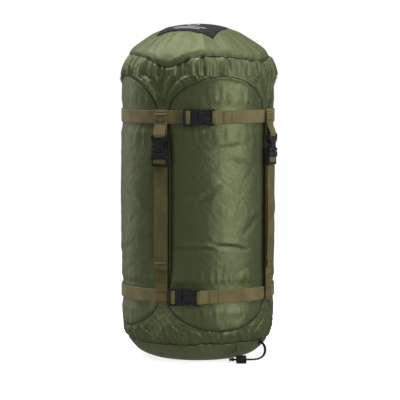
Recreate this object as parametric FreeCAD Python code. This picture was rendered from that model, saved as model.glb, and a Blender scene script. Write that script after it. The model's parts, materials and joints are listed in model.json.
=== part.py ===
import FreeCAD, Part
import math
import os

from FreeCAD import Matrix, Placement, Vector

# A stuffed compression sack that stands on its closing end. Millimetres, +Z up, +Y to the back.
# The origin is on the floor, at the centre of the flat of the base.
# "Turn" is an angle round the sack in degrees: 0 faces the front (-Y), 90 faces the right (+X).

# ---- driving dimensions ----
HEIGHT = 515.0            # floor to the crown of the top end
BODY_RADIUS = 117.5       # outside of the fabric tube
BASE_FLAT_RADIUS = 58.0   # the part of the base that lies on the floor
BASE_RISE = 66.0          # height over which the base curves up into the wall
DOME_RISE = 75.0          # height of the domed top end
DOME_POWER = 2.1          # superellipse power of the dome: 2 is an ellipse, more is squarer
FABRIC = 1.2              # shell thickness that stands for the fabric and its seams
LOAD_GAP = 0.3            # clearance between the packed load and the fabric
TOP_SEAM_Z = 463.0        # where the top end panel is sewn on
BASE_SEAM_Z = 31.0        # where the base panel is sewn on

# Four smooth side panels with rounded ends, and the gathered lattice of fabric between them.
FIRST_STRAP_TURN = -27.0
STRAP_TURNS = [FIRST_STRAP_TURN + 90.0 * k for k in range(4)]
LATTICE_NECK = 18.0       # width of the lattice fabric behind each upright strap
PANEL_LOW_Z, PANEL_HIGH_Z = 52.0, 436.0
PANEL_ARCH_LOW = 46.0     # height of each panel's half-oval ends
PANEL_ARCH_HIGH = 58.0

# Webbing
WEB_WIDTH = 20.0
WEB = 1.4                 # webbing thickness
LAYER_GAP = 0.1           # between two layers of one strap
UPPER_BELT_Z = 375.5      # height of the middle of each belt
LOWER_BELT_Z = 105.0
BELT_LIFT = 0.2           # the belt's inner face stands this far off the fabric
BELT_TAIL_LIFT = 1.8      # the belt's free tail lies over the belt
STRAP_LIFT = 3.4          # the upright straps lie over the belts and their tails
PULL_STRAP_FOOT_Z = 94.0  # sewn end of the strap that runs up to each ladder
TAIL_END_Z = 145.0        # free end of the upright tails
TAIL_HEM = 12.0
ANCHOR_LANDING = 19.0     # the anchor strap's outer layer reaches the inner one this far above its slot
WEB_CORNER = 0.4          # inner radius where webbing folds

# Buckles, in their own frame: X across, Y along the strap from the ladder end, Z away from the sack
BUCKLE_LENGTH = 47.6
SOCKET_SLOT_Y = 43.6      # middle of the socket's webbing slot
SOCKET_BAR_WEB = 6.1      # middle of the webbing where it lies over the socket's bar
GRIP_WEB_Y = (4.3, 10.75)  # the webbing goes down on each side of the grip bar
GRIP_WEB_Z = 5.85
PULL_STRAP_END_Y = 11.4   # the upright pull strap ends under the ladder
TAIL_WEB_Z = 0.85
BELT_END_Y = 11.5         # the belt ends under the ladder, and starts under the socket's sewn fold
BELT_START_Y = 59.5
FOLD_TIP_Y = 53.65        # inner end of the fold, short enough to rise clear of the belt's start
BAR_END_Y = 48.5          # the fold leaves the bar, and lies on the belt from the landing to its end
FOLD_LANDING_Y = 57.0
FOLD_END_Y = 76.0
FOLD_GAP = 0.35
BELT_TAIL_SWEEP = 62.0    # degrees of belt that its free tail covers
BUCKLE_HEIGHT = 7.4
HALF_WIDTH = 13.2
SLOT_HALF = 10.5
UPRIGHT_BUCKLE_LIFT = 5.2
BELT_BUCKLE_LIFT = 2.6
UPRIGHT_BUCKLE_Z = 301.2  # height of the ladder end of the upright buckles
UPPER_BUCKLE_TURN = 0.7   # turn of the middle of each belt buckle
LOWER_BUCKLE_TURN = -9.8
LATCH_HINGE_X, LATCH_HINGE_Y = 7.8, 19.0
LATCH_LOW, LATCH_HIGH = 1.9, 5.5

# Label patch on the top end
LABEL_WIDTH, LABEL_DEPTH, LABEL_THICKNESS = 94.0, 66.0, 0.9
LABEL_X, LABEL_Y, LABEL_TURN = -8.0, -30.0, -22.0

# Drawstring and its cord lock, which lies on the floor beside the base. Each strand runs from the
# eyelet in the base seam, out and down, through the lock and into the knot.
CORD_DIAMETER = 2.5
BACK_STRAND = [(95.0, -49.4, 27.9), (100.1, -52.2, 24.2), (102.9, -57.6, 17.0), (101.2, -66.2, 9.2),
               (94.2, -76.2, 5.2), (85.6, -82.7, 4.8), (76.0, -84.5, 5.0), (65.0, -84.6, 4.9),
               (55.0, -84.5, 5.0)]
FRONT_STRAND = [(95.0, -51.8, 29.7), (100.6, -54.9, 26.1), (104.4, -61.0, 19.2), (103.2, -70.4, 11.3),
                (96.2, -80.6, 6.0), (86.6, -86.4, 5.1), (76.0, -87.4, 5.0), (65.0, -87.5, 4.9),
                (55.0, -87.4, 5.0)]
LOCK_X, LOCK_Y, LOCK_Z = 66.0, -86.0, 5.0
LOCK_TRAVEL = 3.0
KNOT_RADIUS, KNOT_LENGTH = 4.2, 7.0
KNOT_ROUNDING, KNOT_END_ROUNDING = 1.2, 2.6


# ---- small tools ----
def rounded_face(points):
    """A face from (x, y, corner radius) points, in order round the outline."""
    count = len(points)
    starts, ends, arcs = [], [], []
    for k in range(count):
        x, y, radius = points[k]
        here = Vector(x, y, 0)
        before = Vector(*points[k - 1][:2], 0)
        after = Vector(*points[(k + 1) % count][:2], 0)
        to_before = (before - here).normalize()
        to_after = (after - here).normalize()
        half = to_before.getAngle(to_after) / 2
        if radius <= 0 or abs(half - math.pi / 2) < 1e-6:
            starts.append(here)
            ends.append(here)
            arcs.append(None)
            continue
        back = radius / math.tan(half)
        bisector = (to_before + to_after).normalize()
        middle = here + bisector * (radius / math.sin(half) - radius)
        starts.append(here + to_before * back)
        ends.append(here + to_after * back)
        arcs.append(Part.Arc(starts[-1], middle, ends[-1]).toShape())
    edges = []
    for k in range(count):
        if arcs[k] is not None:
            edges.append(arcs[k])
        nxt = (k + 1) % count
        if (starts[nxt] - ends[k]).Length > 1e-6:
            edges.append(Part.makeLine(ends[k], starts[nxt]))
    return Part.Face(Part.Wire(edges))


def mirrored(right_side):
    """Closes an outline given down its right side, from top to bottom or bottom to top."""
    return right_side + [(-x, y, r) for x, y, r in reversed(right_side)]


def plate(points, low, high):
    face = rounded_face(points)
    face.translate(Vector(0, 0, low))
    return face.extrude(Vector(0, 0, high - low))


def box(x0, x1, y0, y1, z0, z1):
    return Part.makeBox(x1 - x0, y1 - y0, z1 - z0, Vector(x0, y0, z0))


def fused(shapes):
    return shapes[0].multiFuse(shapes[1:]).removeSplitter() if len(shapes) > 1 else shapes[0]


def ribbon(centre_line, thickness, corner):
    """Outline points of a strip of even thickness along a line of (x, y) points, corners rounded."""
    left, right = [], []
    count = len(centre_line)
    for k in range(count):
        here = Vector(*centre_line[k], 0)
        ahead = (Vector(*centre_line[k + 1], 0) - here).normalize() if k < count - 1 else None
        behind = (here - Vector(*centre_line[k - 1], 0)).normalize() if k else None
        if ahead is None or behind is None:
            along = ahead or behind
            side = Vector(-along.y, along.x, 0) * (thickness / 2)
            radii = (0, 0)
        else:
            normal_in = Vector(-behind.y, behind.x, 0)
            normal_out = Vector(-ahead.y, ahead.x, 0)
            mitre = (normal_in + normal_out).normalize()
            side = mitre * (thickness / 2 / mitre.dot(normal_in))
            turns_left = behind.x * ahead.y - behind.y * ahead.x > 0
            inner, outer = corner, corner + thickness
            radii = (inner, outer) if turns_left else (outer, inner)
        left.append((here.x + side.x, here.y + side.y, radii[0]))
        right.append((here.x - side.x, here.y - side.y, radii[1]))
    return right + list(reversed(left))


def outward(turn):
    angle = math.radians(turn)
    return Vector(math.sin(angle), -math.cos(angle), 0)


def rightward(turn):
    angle = math.radians(turn)
    return Vector(math.cos(angle), math.sin(angle), 0)


def placed(shape, across, along, out, origin):
    """Moves a shape from its own X, Y, Z to the directions across, along and out, at origin."""
    matrix = Matrix(across.x, along.x, out.x, origin.x,
                    across.y, along.y, out.y, origin.y,
                    across.z, along.z, out.z, origin.z,
                    0, 0, 0, 1)
    moved = shape.copy()
    moved.Placement = Placement(matrix).multiply(shape.Placement)
    return moved


def on_strap(shape, turn):
    """Places a buckle part on the upright strap at this turn, ladder end down."""
    origin = outward(turn) * (BODY_RADIUS + UPRIGHT_BUCKLE_LIFT) + Vector(0, 0, UPRIGHT_BUCKLE_Z)
    return placed(shape, rightward(turn), Vector(0, 0, 1), outward(turn), origin)


def on_belt(shape, turn, height):
    """Places a buckle part on a belt, ladder end to the left."""
    origin = (outward(turn) * (BODY_RADIUS + BELT_BUCKLE_LIFT)
              - rightward(turn) * (BUCKLE_LENGTH / 2) + Vector(0, 0, height))
    return placed(shape, Vector(0, 0, -1), rightward(turn), outward(turn), origin)


def strap_solid(centre_line, turn):
    """A strip of webbing from (height, lift off the fabric) points, on an upright strap's line."""
    face = rounded_face(ribbon(centre_line, WEB, WEB_CORNER))
    solid = face.extrude(Vector(0, 0, WEB_WIDTH))
    solid.translate(Vector(0, 0, -WEB_WIDTH / 2))
    return placed(solid, Vector(0, 0, 1), outward(turn), rightward(turn), outward(turn) * BODY_RADIUS)


# ---- fabric ----
def base_radius(z, inset):
    """Outside radius of the curved base at a height, for a shape inset by this much."""
    share = (BASE_RISE - z) / (BASE_RISE - inset)
    span = BODY_RADIUS - BASE_FLAT_RADIUS - inset
    return BASE_FLAT_RADIUS + span * math.sqrt(max(0.0, 1 - share * share))


def dome_point(share, inset):
    """A point (radius, height) on the dome, from 0 at the wall to 1 at the crown."""
    angle = share * math.pi / 2
    power = 2 / DOME_POWER
    radius = (BODY_RADIUS - inset) * max(0.0, math.cos(angle)) ** power
    return radius, HEIGHT - DOME_RISE + (DOME_RISE - inset) * math.sin(angle) ** power


def sack_solid(inset):
    """The whole sack as one solid of revolution, every face inset by this much."""
    base = [Vector(base_radius(z, inset), 0, z) for z in
            [inset + (BASE_RISE - inset) * (1 - math.cos(math.radians(9 * k))) for k in range(11)]]
    dome = [Vector(r, 0, z) for r, z in [dome_point(k / 14, inset) for k in range(15)]]
    base_curve = Part.BSplineCurve()
    base_curve.interpolate(base, InitialTangent=Vector(1, 0, 0), FinalTangent=Vector(0, 0, 1))
    dome_curve = Part.BSplineCurve()
    dome_curve.interpolate(dome, InitialTangent=Vector(0, 0, 1), FinalTangent=Vector(-1, 0, 0))
    floor_centre = Vector(0, 0, inset)
    edges = [Part.makeLine(floor_centre, base[0]), base_curve.toShape(),
             Part.makeLine(base[-1], dome[0]), dome_curve.toShape(),
             Part.makeLine(dome[-1], floor_centre)]
    return Part.Face(Part.Wire(edges)).revolve(Vector(0, 0, 0), Vector(0, 0, 1), 360)


def slab(low, high):
    reach = BODY_RADIUS + 20
    return box(-reach, reach, -reach, reach, low, high)


def panel_cutter(turn):
    """A prism through one side of the sack, with the outline of a side panel."""
    half_angle = 45 - math.degrees(LATTICE_NECK / 2 / BODY_RADIUS)
    half = BODY_RADIUS * math.sin(math.radians(half_angle))
    low, high = PANEL_LOW_Z + PANEL_ARCH_LOW, PANEL_HIGH_Z - PANEL_ARCH_HIGH

    def arch(z, rise, first, last):
        curve = Part.Ellipse(Vector(0, z, 0), half, rise)
        return Part.ArcOfEllipse(curve, first, last).toShape()

    outline = Part.Wire([arch(high, PANEL_ARCH_HIGH, 0, math.pi),
                         Part.makeLine(Vector(-half, high, 0), Vector(-half, low, 0)),
                         arch(low, PANEL_ARCH_LOW, math.pi, 2 * math.pi),
                         Part.makeLine(Vector(half, low, 0), Vector(half, high, 0))])
    prism = Part.Face(outline).extrude(Vector(0, 0, BODY_RADIUS))
    return placed(prism, rightward(turn), Vector(0, 0, 1), outward(turn), outward(turn) * 40)


def fabric_parts():
    skin = sack_solid(0).cut(sack_solid(FABRIC))
    tube = skin.common(slab(BASE_SEAM_Z, TOP_SEAM_Z))
    cutters = [panel_cutter(turn + 45) for turn in STRAP_TURNS]
    parts = {
        "packed_load": sack_solid(FABRIC + LOAD_GAP),
        "top_end_panel": skin.common(slab(TOP_SEAM_Z, HEIGHT + 1)),
        "base_end_panel": skin.common(slab(-1, BASE_SEAM_Z)),
        "lattice_fabric": tube.cut(cutters[0].multiFuse(cutters[1:])),
    }
    for k, cutter in enumerate(cutters):
        parts[f"side_panel_{k + 1}"] = tube.common(cutter)
    return parts


def label_patch():
    outer, inner = sack_solid(-0.1 - LABEL_THICKNESS), sack_solid(-0.1)
    outline = plate([(x * LABEL_WIDTH / 2, y * LABEL_DEPTH / 2, 3.0)
                     for x, y in [(-1, -1), (1, -1), (1, 1), (-1, 1)]], HEIGHT - DOME_RISE / 2, HEIGHT + 5)
    outline.rotate(Vector(0, 0, 0), Vector(0, 0, 1), LABEL_TURN)
    outline.translate(Vector(LABEL_X, LABEL_Y, 0))
    return outer.cut(inner).common(outline)


# ---- webbing ----
def ring_sector(lift, height, first_turn, last_turn):
    """A curved strip of webbing round the sack between two turns, going by way of larger turns."""
    inner = BODY_RADIUS + lift
    sweep = last_turn - first_turn
    face = Part.Face(Part.Wire(Part.makePolygon([
        Vector(inner, 0, 0), Vector(inner + WEB, 0, 0),
        Vector(inner + WEB, 0, WEB_WIDTH), Vector(inner, 0, WEB_WIDTH), Vector(inner, 0, 0)])))
    solid = face.revolve(Vector(0, 0, 0), Vector(0, 0, 1), sweep)
    solid.rotate(Vector(0, 0, 0), Vector(0, 0, 1), first_turn - 90)
    solid.translate(Vector(0, 0, height - WEB_WIDTH / 2))
    return solid


def belt_turns(turn):
    """Where a belt starts beside the socket and ends under the ladder."""
    start = turn + math.degrees(math.asin((BELT_START_Y - BUCKLE_LENGTH / 2) / BODY_RADIUS))
    end = turn - math.degrees(math.asin((BUCKLE_LENGTH / 2 - BELT_END_Y) / BODY_RADIUS))
    return start, end


def belt(turn, height):
    """A belt that runs from the socket, round the back, to under the ladder."""
    start, end = belt_turns(turn)
    return ring_sector(BELT_LIFT, height, start, end + 360)


def on_belt_edge(line, turn, height):
    """A strip of webbing from (distance along the buckle, distance out from it) points."""
    solid = rounded_face(ribbon(line, WEB, WEB_CORNER)).extrude(Vector(0, 0, WEB_WIDTH))
    solid.translate(Vector(0, 0, -WEB_WIDTH / 2))
    origin = (outward(turn) * (BODY_RADIUS + BELT_BUCKLE_LIFT)
              - rightward(turn) * (BUCKLE_LENGTH / 2) + Vector(0, 0, height))
    return placed(solid, rightward(turn), outward(turn), Vector(0, 0, -1), origin)


def level_on_belt(y, lift):
    """How far out from a belt buckle's underside the middle of a layer lies, at y along the buckle."""
    radius = BODY_RADIUS + lift + WEB / 2
    return math.sqrt(radius ** 2 - (y - BUCKLE_LENGTH / 2) ** 2) - BODY_RADIUS - BELT_BUCKLE_LIFT


def belt_fold(turn, height):
    """The belt's sewn end, folded round the socket's bar. It lies over the belt and moves with the socket."""
    over_belt = BELT_LIFT + WEB + FOLD_GAP
    middle = (FOLD_LANDING_Y + FOLD_END_Y) / 2
    line = [(y, level_on_belt(y, BELT_LIFT)) for y in (FOLD_TIP_Y, SOCKET_SLOT_Y)]
    line += [(SOCKET_SLOT_Y, SOCKET_BAR_WEB), (BAR_END_Y, SOCKET_BAR_WEB)]
    line += [(y, level_on_belt(y, over_belt)) for y in (FOLD_LANDING_Y, middle, FOLD_END_Y)]
    return on_belt_edge(line, turn, height)


def belt_tail(turn, height):
    """The belt's free end: over the grip bar, out under the end bar, and back over the belt."""
    start = turn - math.degrees(math.asin((BUCKLE_LENGTH / 2 - GRIP_WEB_Y[0]) / BODY_RADIUS))
    tail = ring_sector(BELT_TAIL_LIFT, height, start - BELT_TAIL_SWEEP, start)
    foot = level_on_belt(GRIP_WEB_Y[0], BELT_TAIL_LIFT)
    return fused([tail, on_belt_edge(grip_line(foot), turn, height)])


def grip_line(start_z):
    """The webbing's turn over the grip bar, as (along, out) points in the buckle's frame."""
    near, far = GRIP_WEB_Y
    return [(near, start_z), (near, GRIP_WEB_Z), (far, GRIP_WEB_Z), (far, 0.3)]


def upright_tail():
    """The free tail of an upright strap and its turn over the grip bar, in the buckle's frame."""
    end = TAIL_END_Z - UPRIGHT_BUCKLE_Z
    line = [(end, TAIL_WEB_Z)] + grip_line(TAIL_WEB_Z)
    solid = rounded_face(ribbon(line, WEB, WEB_CORNER)).extrude(Vector(0, 0, WEB_WIDTH))
    hem = box(end, end + TAIL_HEM, TAIL_WEB_Z + WEB / 2, TAIL_WEB_Z + WEB * 1.5, 0, WEB_WIDTH)
    solid = fused([solid, hem])
    solid.translate(Vector(0, 0, -WEB_WIDTH / 2))
    return placed(solid, Vector(0, 1, 0), Vector(0, 0, 1), Vector(1, 0, 0), Vector(0, 0, 0))


def pull_strap(turn):
    """The strap sewn over the lower belt, which runs up to the ladder."""
    lift = STRAP_LIFT + WEB / 2
    top = UPRIGHT_BUCKLE_Z + PULL_STRAP_END_Y
    return strap_solid([(PULL_STRAP_FOOT_Z, lift), (top, lift)], turn)


def anchor_strap(turn):
    """The short strap sewn over the upper belt, which holds the socket's bar."""
    low = STRAP_LIFT + WEB / 2
    over = low + WEB + LAYER_GAP
    high = UPRIGHT_BUCKLE_LIFT + SOCKET_BAR_WEB
    slot, bar_end = UPRIGHT_BUCKLE_Z + SOCKET_SLOT_Y, UPRIGHT_BUCKLE_Z + BAR_END_Y
    belt_top = UPPER_BELT_Z + WEB_WIDTH / 2
    return strap_solid([(belt_top + 1, low), (slot, low), (slot, high), (bar_end, high),
                        (slot + ANCHOR_LANDING, over), (belt_top - 4, over)], turn)


# ---- buckles ----
def softened(solid, radius, test):
    """Rounds the edges that pass the test."""
    edges = [e for e in solid.Edges if test(e)]
    return solid.makeFillet(radius, edges)


def at_height(edge, z):
    box_ = edge.BoundBox
    return abs(box_.ZMin - z) < 1e-4 and abs(box_.ZMax - z) < 1e-4


def socket():
    """The socket half: a flat sleeve with open sides at its waist and a bar for the webbing."""
    mouth = 20.8
    outline = mirrored([(12.9, mouth, 1.0), (13.0, 24.2, 0.8), (6.9, 27.6, 3.0), (6.9, 32.0, 5.0),
                        (12.6, 38.2, 2.5), (HALF_WIDTH, BUCKLE_LENGTH, 2.2)])
    body = plate(outline, 0, BUCKLE_HEIGHT)
    body = softened(body, 0.8, lambda e: at_height(e, BUCKLE_HEIGHT))
    body = softened(body, 0.5, lambda e: at_height(e, 0))
    cavity = box(-11.95, 11.95, mouth - 1, 37.6, 1.5, 5.9)
    web_slot = plate(mirrored([(SLOT_HALF, 42.2, 0.6), (SLOT_HALF, 45.0, 0.6)]), -1, BUCKLE_HEIGHT + 1)
    over_bar = box(-SLOT_HALF, SLOT_HALF, 44.9, BUCKLE_LENGTH + 1, 5.2, BUCKLE_HEIGHT + 1)
    under_bar = box(-SLOT_HALF, SLOT_HALF, 44.9, BUCKLE_LENGTH + 1, -1, 1.0)
    mouth_notch = plate([(-5.5, mouth - 1, 0), (5.5, mouth - 1, 0), (3.5, mouth + 1.6, 1.5),
                         (-3.5, mouth + 1.6, 1.5)], 5.0, BUCKLE_HEIGHT + 1)
    dish = Part.makeSphere(16.0, Vector(0, 39.6, BUCKLE_HEIGHT + 15.4))
    for tool in [cavity, web_slot, over_bar, under_bar, mouth_notch, dish]:
        body = body.cut(tool)
    return body


def plug_frame():
    """The plug half without its two latch arms: a ladder for the webbing, a base and a guide tongue."""
    rail_top, base_back, base_front = 5.6, 12.0, 20.4
    ladder = plate(mirrored([(HALF_WIDTH, 0, 1.8), (HALF_WIDTH, 14.0, 0.5)]), 0, rail_top)
    ladder = softened(ladder, 0.6, lambda e: at_height(e, rail_top))
    base = plate(mirrored([(HALF_WIDTH, base_back, 0.5), (HALF_WIDTH, 15.5, 2.0), (12.6, base_front, 1.0)]),
                 0, BUCKLE_HEIGHT)
    base = softened(base, 0.8, lambda e: at_height(e, BUCKLE_HEIGHT))
    tongue = plate(mirrored([(1.2, base_front - 1, 0), (1.2, 34.5, 1.1)]), 2.2, 5.2)
    body = fused([ladder, base, tongue])
    outer_slot = box(-SLOT_HALF, SLOT_HALF, 3.1, 5.5, -1, 9)
    inner_slot = box(-SLOT_HALF, SLOT_HALF, 9.5, 12.0, -1, 9)
    under_end_bar = box(-SLOT_HALF, SLOT_HALF, -1, 3.2, -1, 1.75)
    over_grip = box(-SLOT_HALF, SLOT_HALF, 5.4, 9.6, 4.95, 9)
    under_grip = box(-SLOT_HALF, SLOT_HALF, 5.4, 9.6, -1, 1.9)
    tools = [outer_slot, inner_slot, under_end_bar, over_grip, under_grip]
    tools += [box(-SLOT_HALF, SLOT_HALF, y, y + 0.5, 4.6, 5.5) for y in (6.3, 7.3, 8.3)]
    for side in (1, -1):
        x = side * LATCH_HINGE_X
        tools.append(Part.makeCylinder(1.25, LATCH_HIGH - LATCH_LOW + 0.5,
                                       Vector(x, LATCH_HINGE_Y, LATCH_LOW - 0.25)))
        low, high = sorted([side * 6.3, side * 8.9])
        tools.append(box(low, high, LATCH_HINGE_Y, base_front + 1, LATCH_LOW - 0.25, LATCH_HIGH + 0.25))
    for tool in tools:
        body = body.cut(tool)
    return body


def latch_arm(side):
    """One sprung arm of the plug, with its thumb ear. side is 1 at +X and -1 at -X."""
    outline = [(6.9, LATCH_HINGE_Y, 0), (8.7, LATCH_HINGE_Y, 0), (8.7, 25.0, 0.6), (11.6, 25.8, 0.9),
               (11.75, 29.0, 2.0), (10.4, 33.6, 2.0), (8.5, 36.8, 0.8), (7.4, 36.8, 0.5), (6.5, 34.0, 1.0),
               (6.9, 26.0, 1.0)]
    arm = plate(outline, LATCH_LOW, LATCH_HIGH)
    knuckle = Part.makeCylinder(1.15, LATCH_HIGH - LATCH_LOW, Vector(LATCH_HINGE_X, LATCH_HINGE_Y, LATCH_LOW))
    arm = fused([arm, knuckle])
    ridges = [box(11.2, 13, 26.6 + k, 27.0 + k, LATCH_LOW - 1, LATCH_HIGH + 1) for k in range(4)]
    for ridge in ridges:
        arm = arm.cut(ridge)
    if side < 0:
        arm = arm.mirror(Vector(0, 0, 0), Vector(1, 0, 0))
    return arm


# ---- drawstring ----
def cord_tube(route, name):
    """A tube of straight runs joined by arcs, each as large as its runs allow."""
    points = [Vector(*point) for point in route]
    runs = [(b - a).Length for a, b in zip(points, points[1:])]
    edges, at, radii = [], points[0], []
    for k in range(1, len(points) - 1):
        back = (points[k - 1] - points[k]).normalize()
        ahead = (points[k + 1] - points[k]).normalize()
        turn = math.pi - back.getAngle(ahead)
        reach = 0.45 * min(runs[k - 1], runs[k])
        radius = reach / math.tan(turn / 2)
        radii.append(round(radius, 1))
        start, end = points[k] + back * reach, points[k] + ahead * reach
        bisector = (back + ahead).normalize()
        middle = points[k] + bisector * (radius / math.cos(turn / 2) - radius)
        edges += [Part.LineSegment(at, start).toShape(), Part.Arc(start, middle, end).toShape()]
        at = end
    edges.append(Part.LineSegment(at, points[-1]).toShape())
    path = Part.Wire(edges)
    direction = points[1] - points[0]
    profile = Part.Wire(Part.makeCircle(CORD_DIAMETER / 2, points[0], direction))
    tube = path.makePipeShell([profile], True, False)
    section = math.pi * CORD_DIAMETER ** 2 / 4
    print(name, "radii", radii, "length", round(path.Length, 1),
          "volume over section times length", round(tube.Volume / section / path.Length, 4))
    return tube


def lock_tool(p0, p1, q0, q1, z0, z1):
    """A box in the cord lock's frame: p along the plunger, to the front, and q along the cords."""
    return box(LOCK_X + q0, LOCK_X + q1, LOCK_Y - p1, LOCK_Y - p0, LOCK_Z + z0, LOCK_Z + z1)


def lock_body():
    shell = lock_tool(-12, 8, -8, 8, -4.7, 4.7)
    shell = shell.makeFillet(2.0, [e for e in shell.Edges if e.BoundBox.YLength > 19])
    shell = softened(shell, 0.6, lambda e: e.BoundBox.YLength < 0.1)
    cavity = lock_tool(-10.6, 9, -6.2, 6.2, -3.1, 3.1)
    cord_hole = lock_tool(-3.0, 3.0, -9, 9, -1.6, 1.6)
    return shell.cut(cavity).cut(cord_hole)


def lock_plunger():
    stem = lock_tool(-6.4, 11.4, -5.9, 5.9, -2.8, 2.8)
    head = lock_tool(8.0 + LOCK_TRAVEL + 0.2, 14.6, -7.4, 7.4, -4.1, 4.1)
    head = head.makeFillet(1.4, [e for e in head.Edges if e.BoundBox.YLength > 3])
    head = softened(head, 0.7, lambda e: e.BoundBox.YMax < LOCK_Y - 14.5)
    slot = lock_tool(-2.95, 2.95 + LOCK_TRAVEL, -7, 7, -1.6, 1.6)
    return fused([stem, head]).cut(slot)


def lock_spring():
    """A short helical spring between the closed end of the lock and the plunger."""
    wire_radius, coil_radius = 0.3, 2.1
    height = 3.2
    helix = Part.makeHelix(height / 3, height, coil_radius)
    profile = Part.Wire(Part.makeCircle(wire_radius, Vector(coil_radius, 0, 0), Vector(0, 1, 0)))
    coil = Part.Wire(helix).makePipeShell([profile], True, True)
    start = Vector(LOCK_X, LOCK_Y + 10.6 - wire_radius - 0.05, LOCK_Z)
    return placed(coil, Vector(1, 0, 0), Vector(0, 0, 1), Vector(0, -1, 0), start)


def eyelet():
    """The ring in the base seam where the strands come out."""
    back, front = Vector(*BACK_STRAND[0]), Vector(*FRONT_STRAND[0])
    axis = (Vector(*BACK_STRAND[1]) - back).normalize()
    return Part.makeTorus(4.3, 0.8, (back + front) / 2 + axis * 1.6, axis)


def knot():
    """The knot that ends both strands, a rounded barrel that is flat where they enter it."""
    end = (Vector(*BACK_STRAND[-1]) + Vector(*FRONT_STRAND[-1])) / 2
    outline = rounded_face([(0, 0, 0), (0, KNOT_RADIUS, KNOT_ROUNDING),
                            (-KNOT_LENGTH, KNOT_RADIUS, KNOT_END_ROUNDING), (-KNOT_LENGTH, 0, 0)])
    barrel = outline.revolve(Vector(0, 0, 0), Vector(1, 0, 0), 360)
    barrel.translate(end)
    return barrel


# ---- the assembly ----
def build():
    parts = fabric_parts()
    parts["label_patch"] = label_patch()

    halves = {"socket": socket(), "plug_frame": plug_frame(),
              "latch_right": latch_arm(1), "latch_left": latch_arm(-1)}
    tail = upright_tail()
    for k, turn in enumerate(STRAP_TURNS, 1):
        for name, shape in halves.items():
            parts[f"strap_{name}_{k}"] = on_strap(shape, turn)
        parts[f"anchor_strap_{k}"] = anchor_strap(turn)
        parts[f"pull_strap_{k}"] = pull_strap(turn)
        parts[f"strap_tail_{k}"] = on_strap(tail, turn)

    belts = {"upper": (UPPER_BUCKLE_TURN, UPPER_BELT_Z), "lower": (LOWER_BUCKLE_TURN, LOWER_BELT_Z)}
    for where, (turn, height) in belts.items():
        for name, shape in halves.items():
            parts[f"{where}_belt_{name}"] = on_belt(shape, turn, height)
        parts[f"{where}_belt"] = belt(turn, height)
        parts[f"{where}_belt_fold"] = belt_fold(turn, height)
        parts[f"{where}_belt_tail"] = belt_tail(turn, height)

    parts["drawstring_back"] = cord_tube(BACK_STRAND, "drawstring_back")
    parts["drawstring_front"] = cord_tube(FRONT_STRAND, "drawstring_front")
    parts["drawstring_knot"] = knot()
    parts["drawstring_eyelet"] = eyelet()
    parts["cord_lock_body"] = lock_body()
    parts["cord_lock_plunger"] = lock_plunger()
    parts["cord_lock_spring"] = lock_spring()
    return parts


def export(parts):
    os.makedirs("parts", exist_ok=True)
    for old in os.listdir("parts"):
        if old.endswith(".step"):
            os.remove(os.path.join("parts", old))
    for name, shape in parts.items():
        solid_count = len(shape.Solids)
        if not shape.isValid() or shape.Volume <= 0 or solid_count != 1:
            print("CHECK", name, "valid", shape.isValid(), "volume", shape.Volume, "solids", solid_count)
        shape.exportStep(f"parts/{name}.step")
    print(len(parts), "nodes")


export(build())
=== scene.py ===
import json
import math

import bpy
import numpy as np
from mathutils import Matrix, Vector, noise


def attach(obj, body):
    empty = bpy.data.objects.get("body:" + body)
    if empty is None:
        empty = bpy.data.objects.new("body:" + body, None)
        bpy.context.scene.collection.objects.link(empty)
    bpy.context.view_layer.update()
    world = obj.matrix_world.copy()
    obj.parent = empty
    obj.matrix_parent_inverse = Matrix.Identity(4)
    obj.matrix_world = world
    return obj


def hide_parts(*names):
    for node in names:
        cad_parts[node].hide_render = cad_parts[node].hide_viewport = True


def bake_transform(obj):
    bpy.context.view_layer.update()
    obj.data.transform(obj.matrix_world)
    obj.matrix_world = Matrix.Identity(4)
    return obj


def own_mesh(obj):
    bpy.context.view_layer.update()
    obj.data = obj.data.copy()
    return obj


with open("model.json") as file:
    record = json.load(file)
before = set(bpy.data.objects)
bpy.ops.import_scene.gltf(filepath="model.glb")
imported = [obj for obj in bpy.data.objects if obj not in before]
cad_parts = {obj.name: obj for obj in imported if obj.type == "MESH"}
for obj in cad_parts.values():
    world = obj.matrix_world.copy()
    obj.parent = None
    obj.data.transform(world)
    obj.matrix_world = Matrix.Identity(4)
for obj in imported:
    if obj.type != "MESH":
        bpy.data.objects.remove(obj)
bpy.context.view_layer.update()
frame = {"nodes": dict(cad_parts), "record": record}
MM = 0.001

# ---- dimensions in metres, as in the CAD frame ----
HEIGHT = 0.515
BODY_RADIUS = 0.1175
BASE_FLAT_RADIUS = 0.058
BASE_RISE = 0.066
DOME_RISE = 0.075
DOME_POWER = 2.1
TOP_SEAM_Z = 0.463
BASE_SEAM_Z = 0.031
STRAP_TURNS = [-27.0 + 90.0 * k for k in range(4)]
LATTICE_NECK = 0.018
PANEL_LOW_Z, PANEL_HIGH_Z = 0.052, 0.436
PANEL_ARCH_LOW, PANEL_ARCH_HIGH = 0.046, 0.058
WEB_WIDTH, WEB = 0.020, 0.0014
UPPER_BELT_Z, LOWER_BELT_Z = 0.3755, 0.105
BELT_LIFT, BELT_TAIL_LIFT, STRAP_LIFT = 0.0002, 0.0018, 0.0034
PULL_STRAP_FOOT_Z, TAIL_END_Z = 0.094, 0.145
UPRIGHT_BUCKLE_LIFT, BELT_BUCKLE_LIFT = 0.0052, 0.0026
UPRIGHT_BUCKLE_Z = 0.3012
BUCKLE_LENGTH = 0.0476
BUCKLE_TURNS = {"upper": 0.7, "lower": -9.8}
BELT_HEIGHTS = {"upper": UPPER_BELT_Z, "lower": LOWER_BELT_Z}
BELT_BODIES = {"upper": "top_end", "lower": "sack"}
LABEL_WIDTH, LABEL_DEPTH = 0.094, 0.066
LABEL_X, LABEL_Y, LABEL_TURN = -0.008, -0.030, -22.0
CORD_DIAMETER = 0.0025


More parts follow.
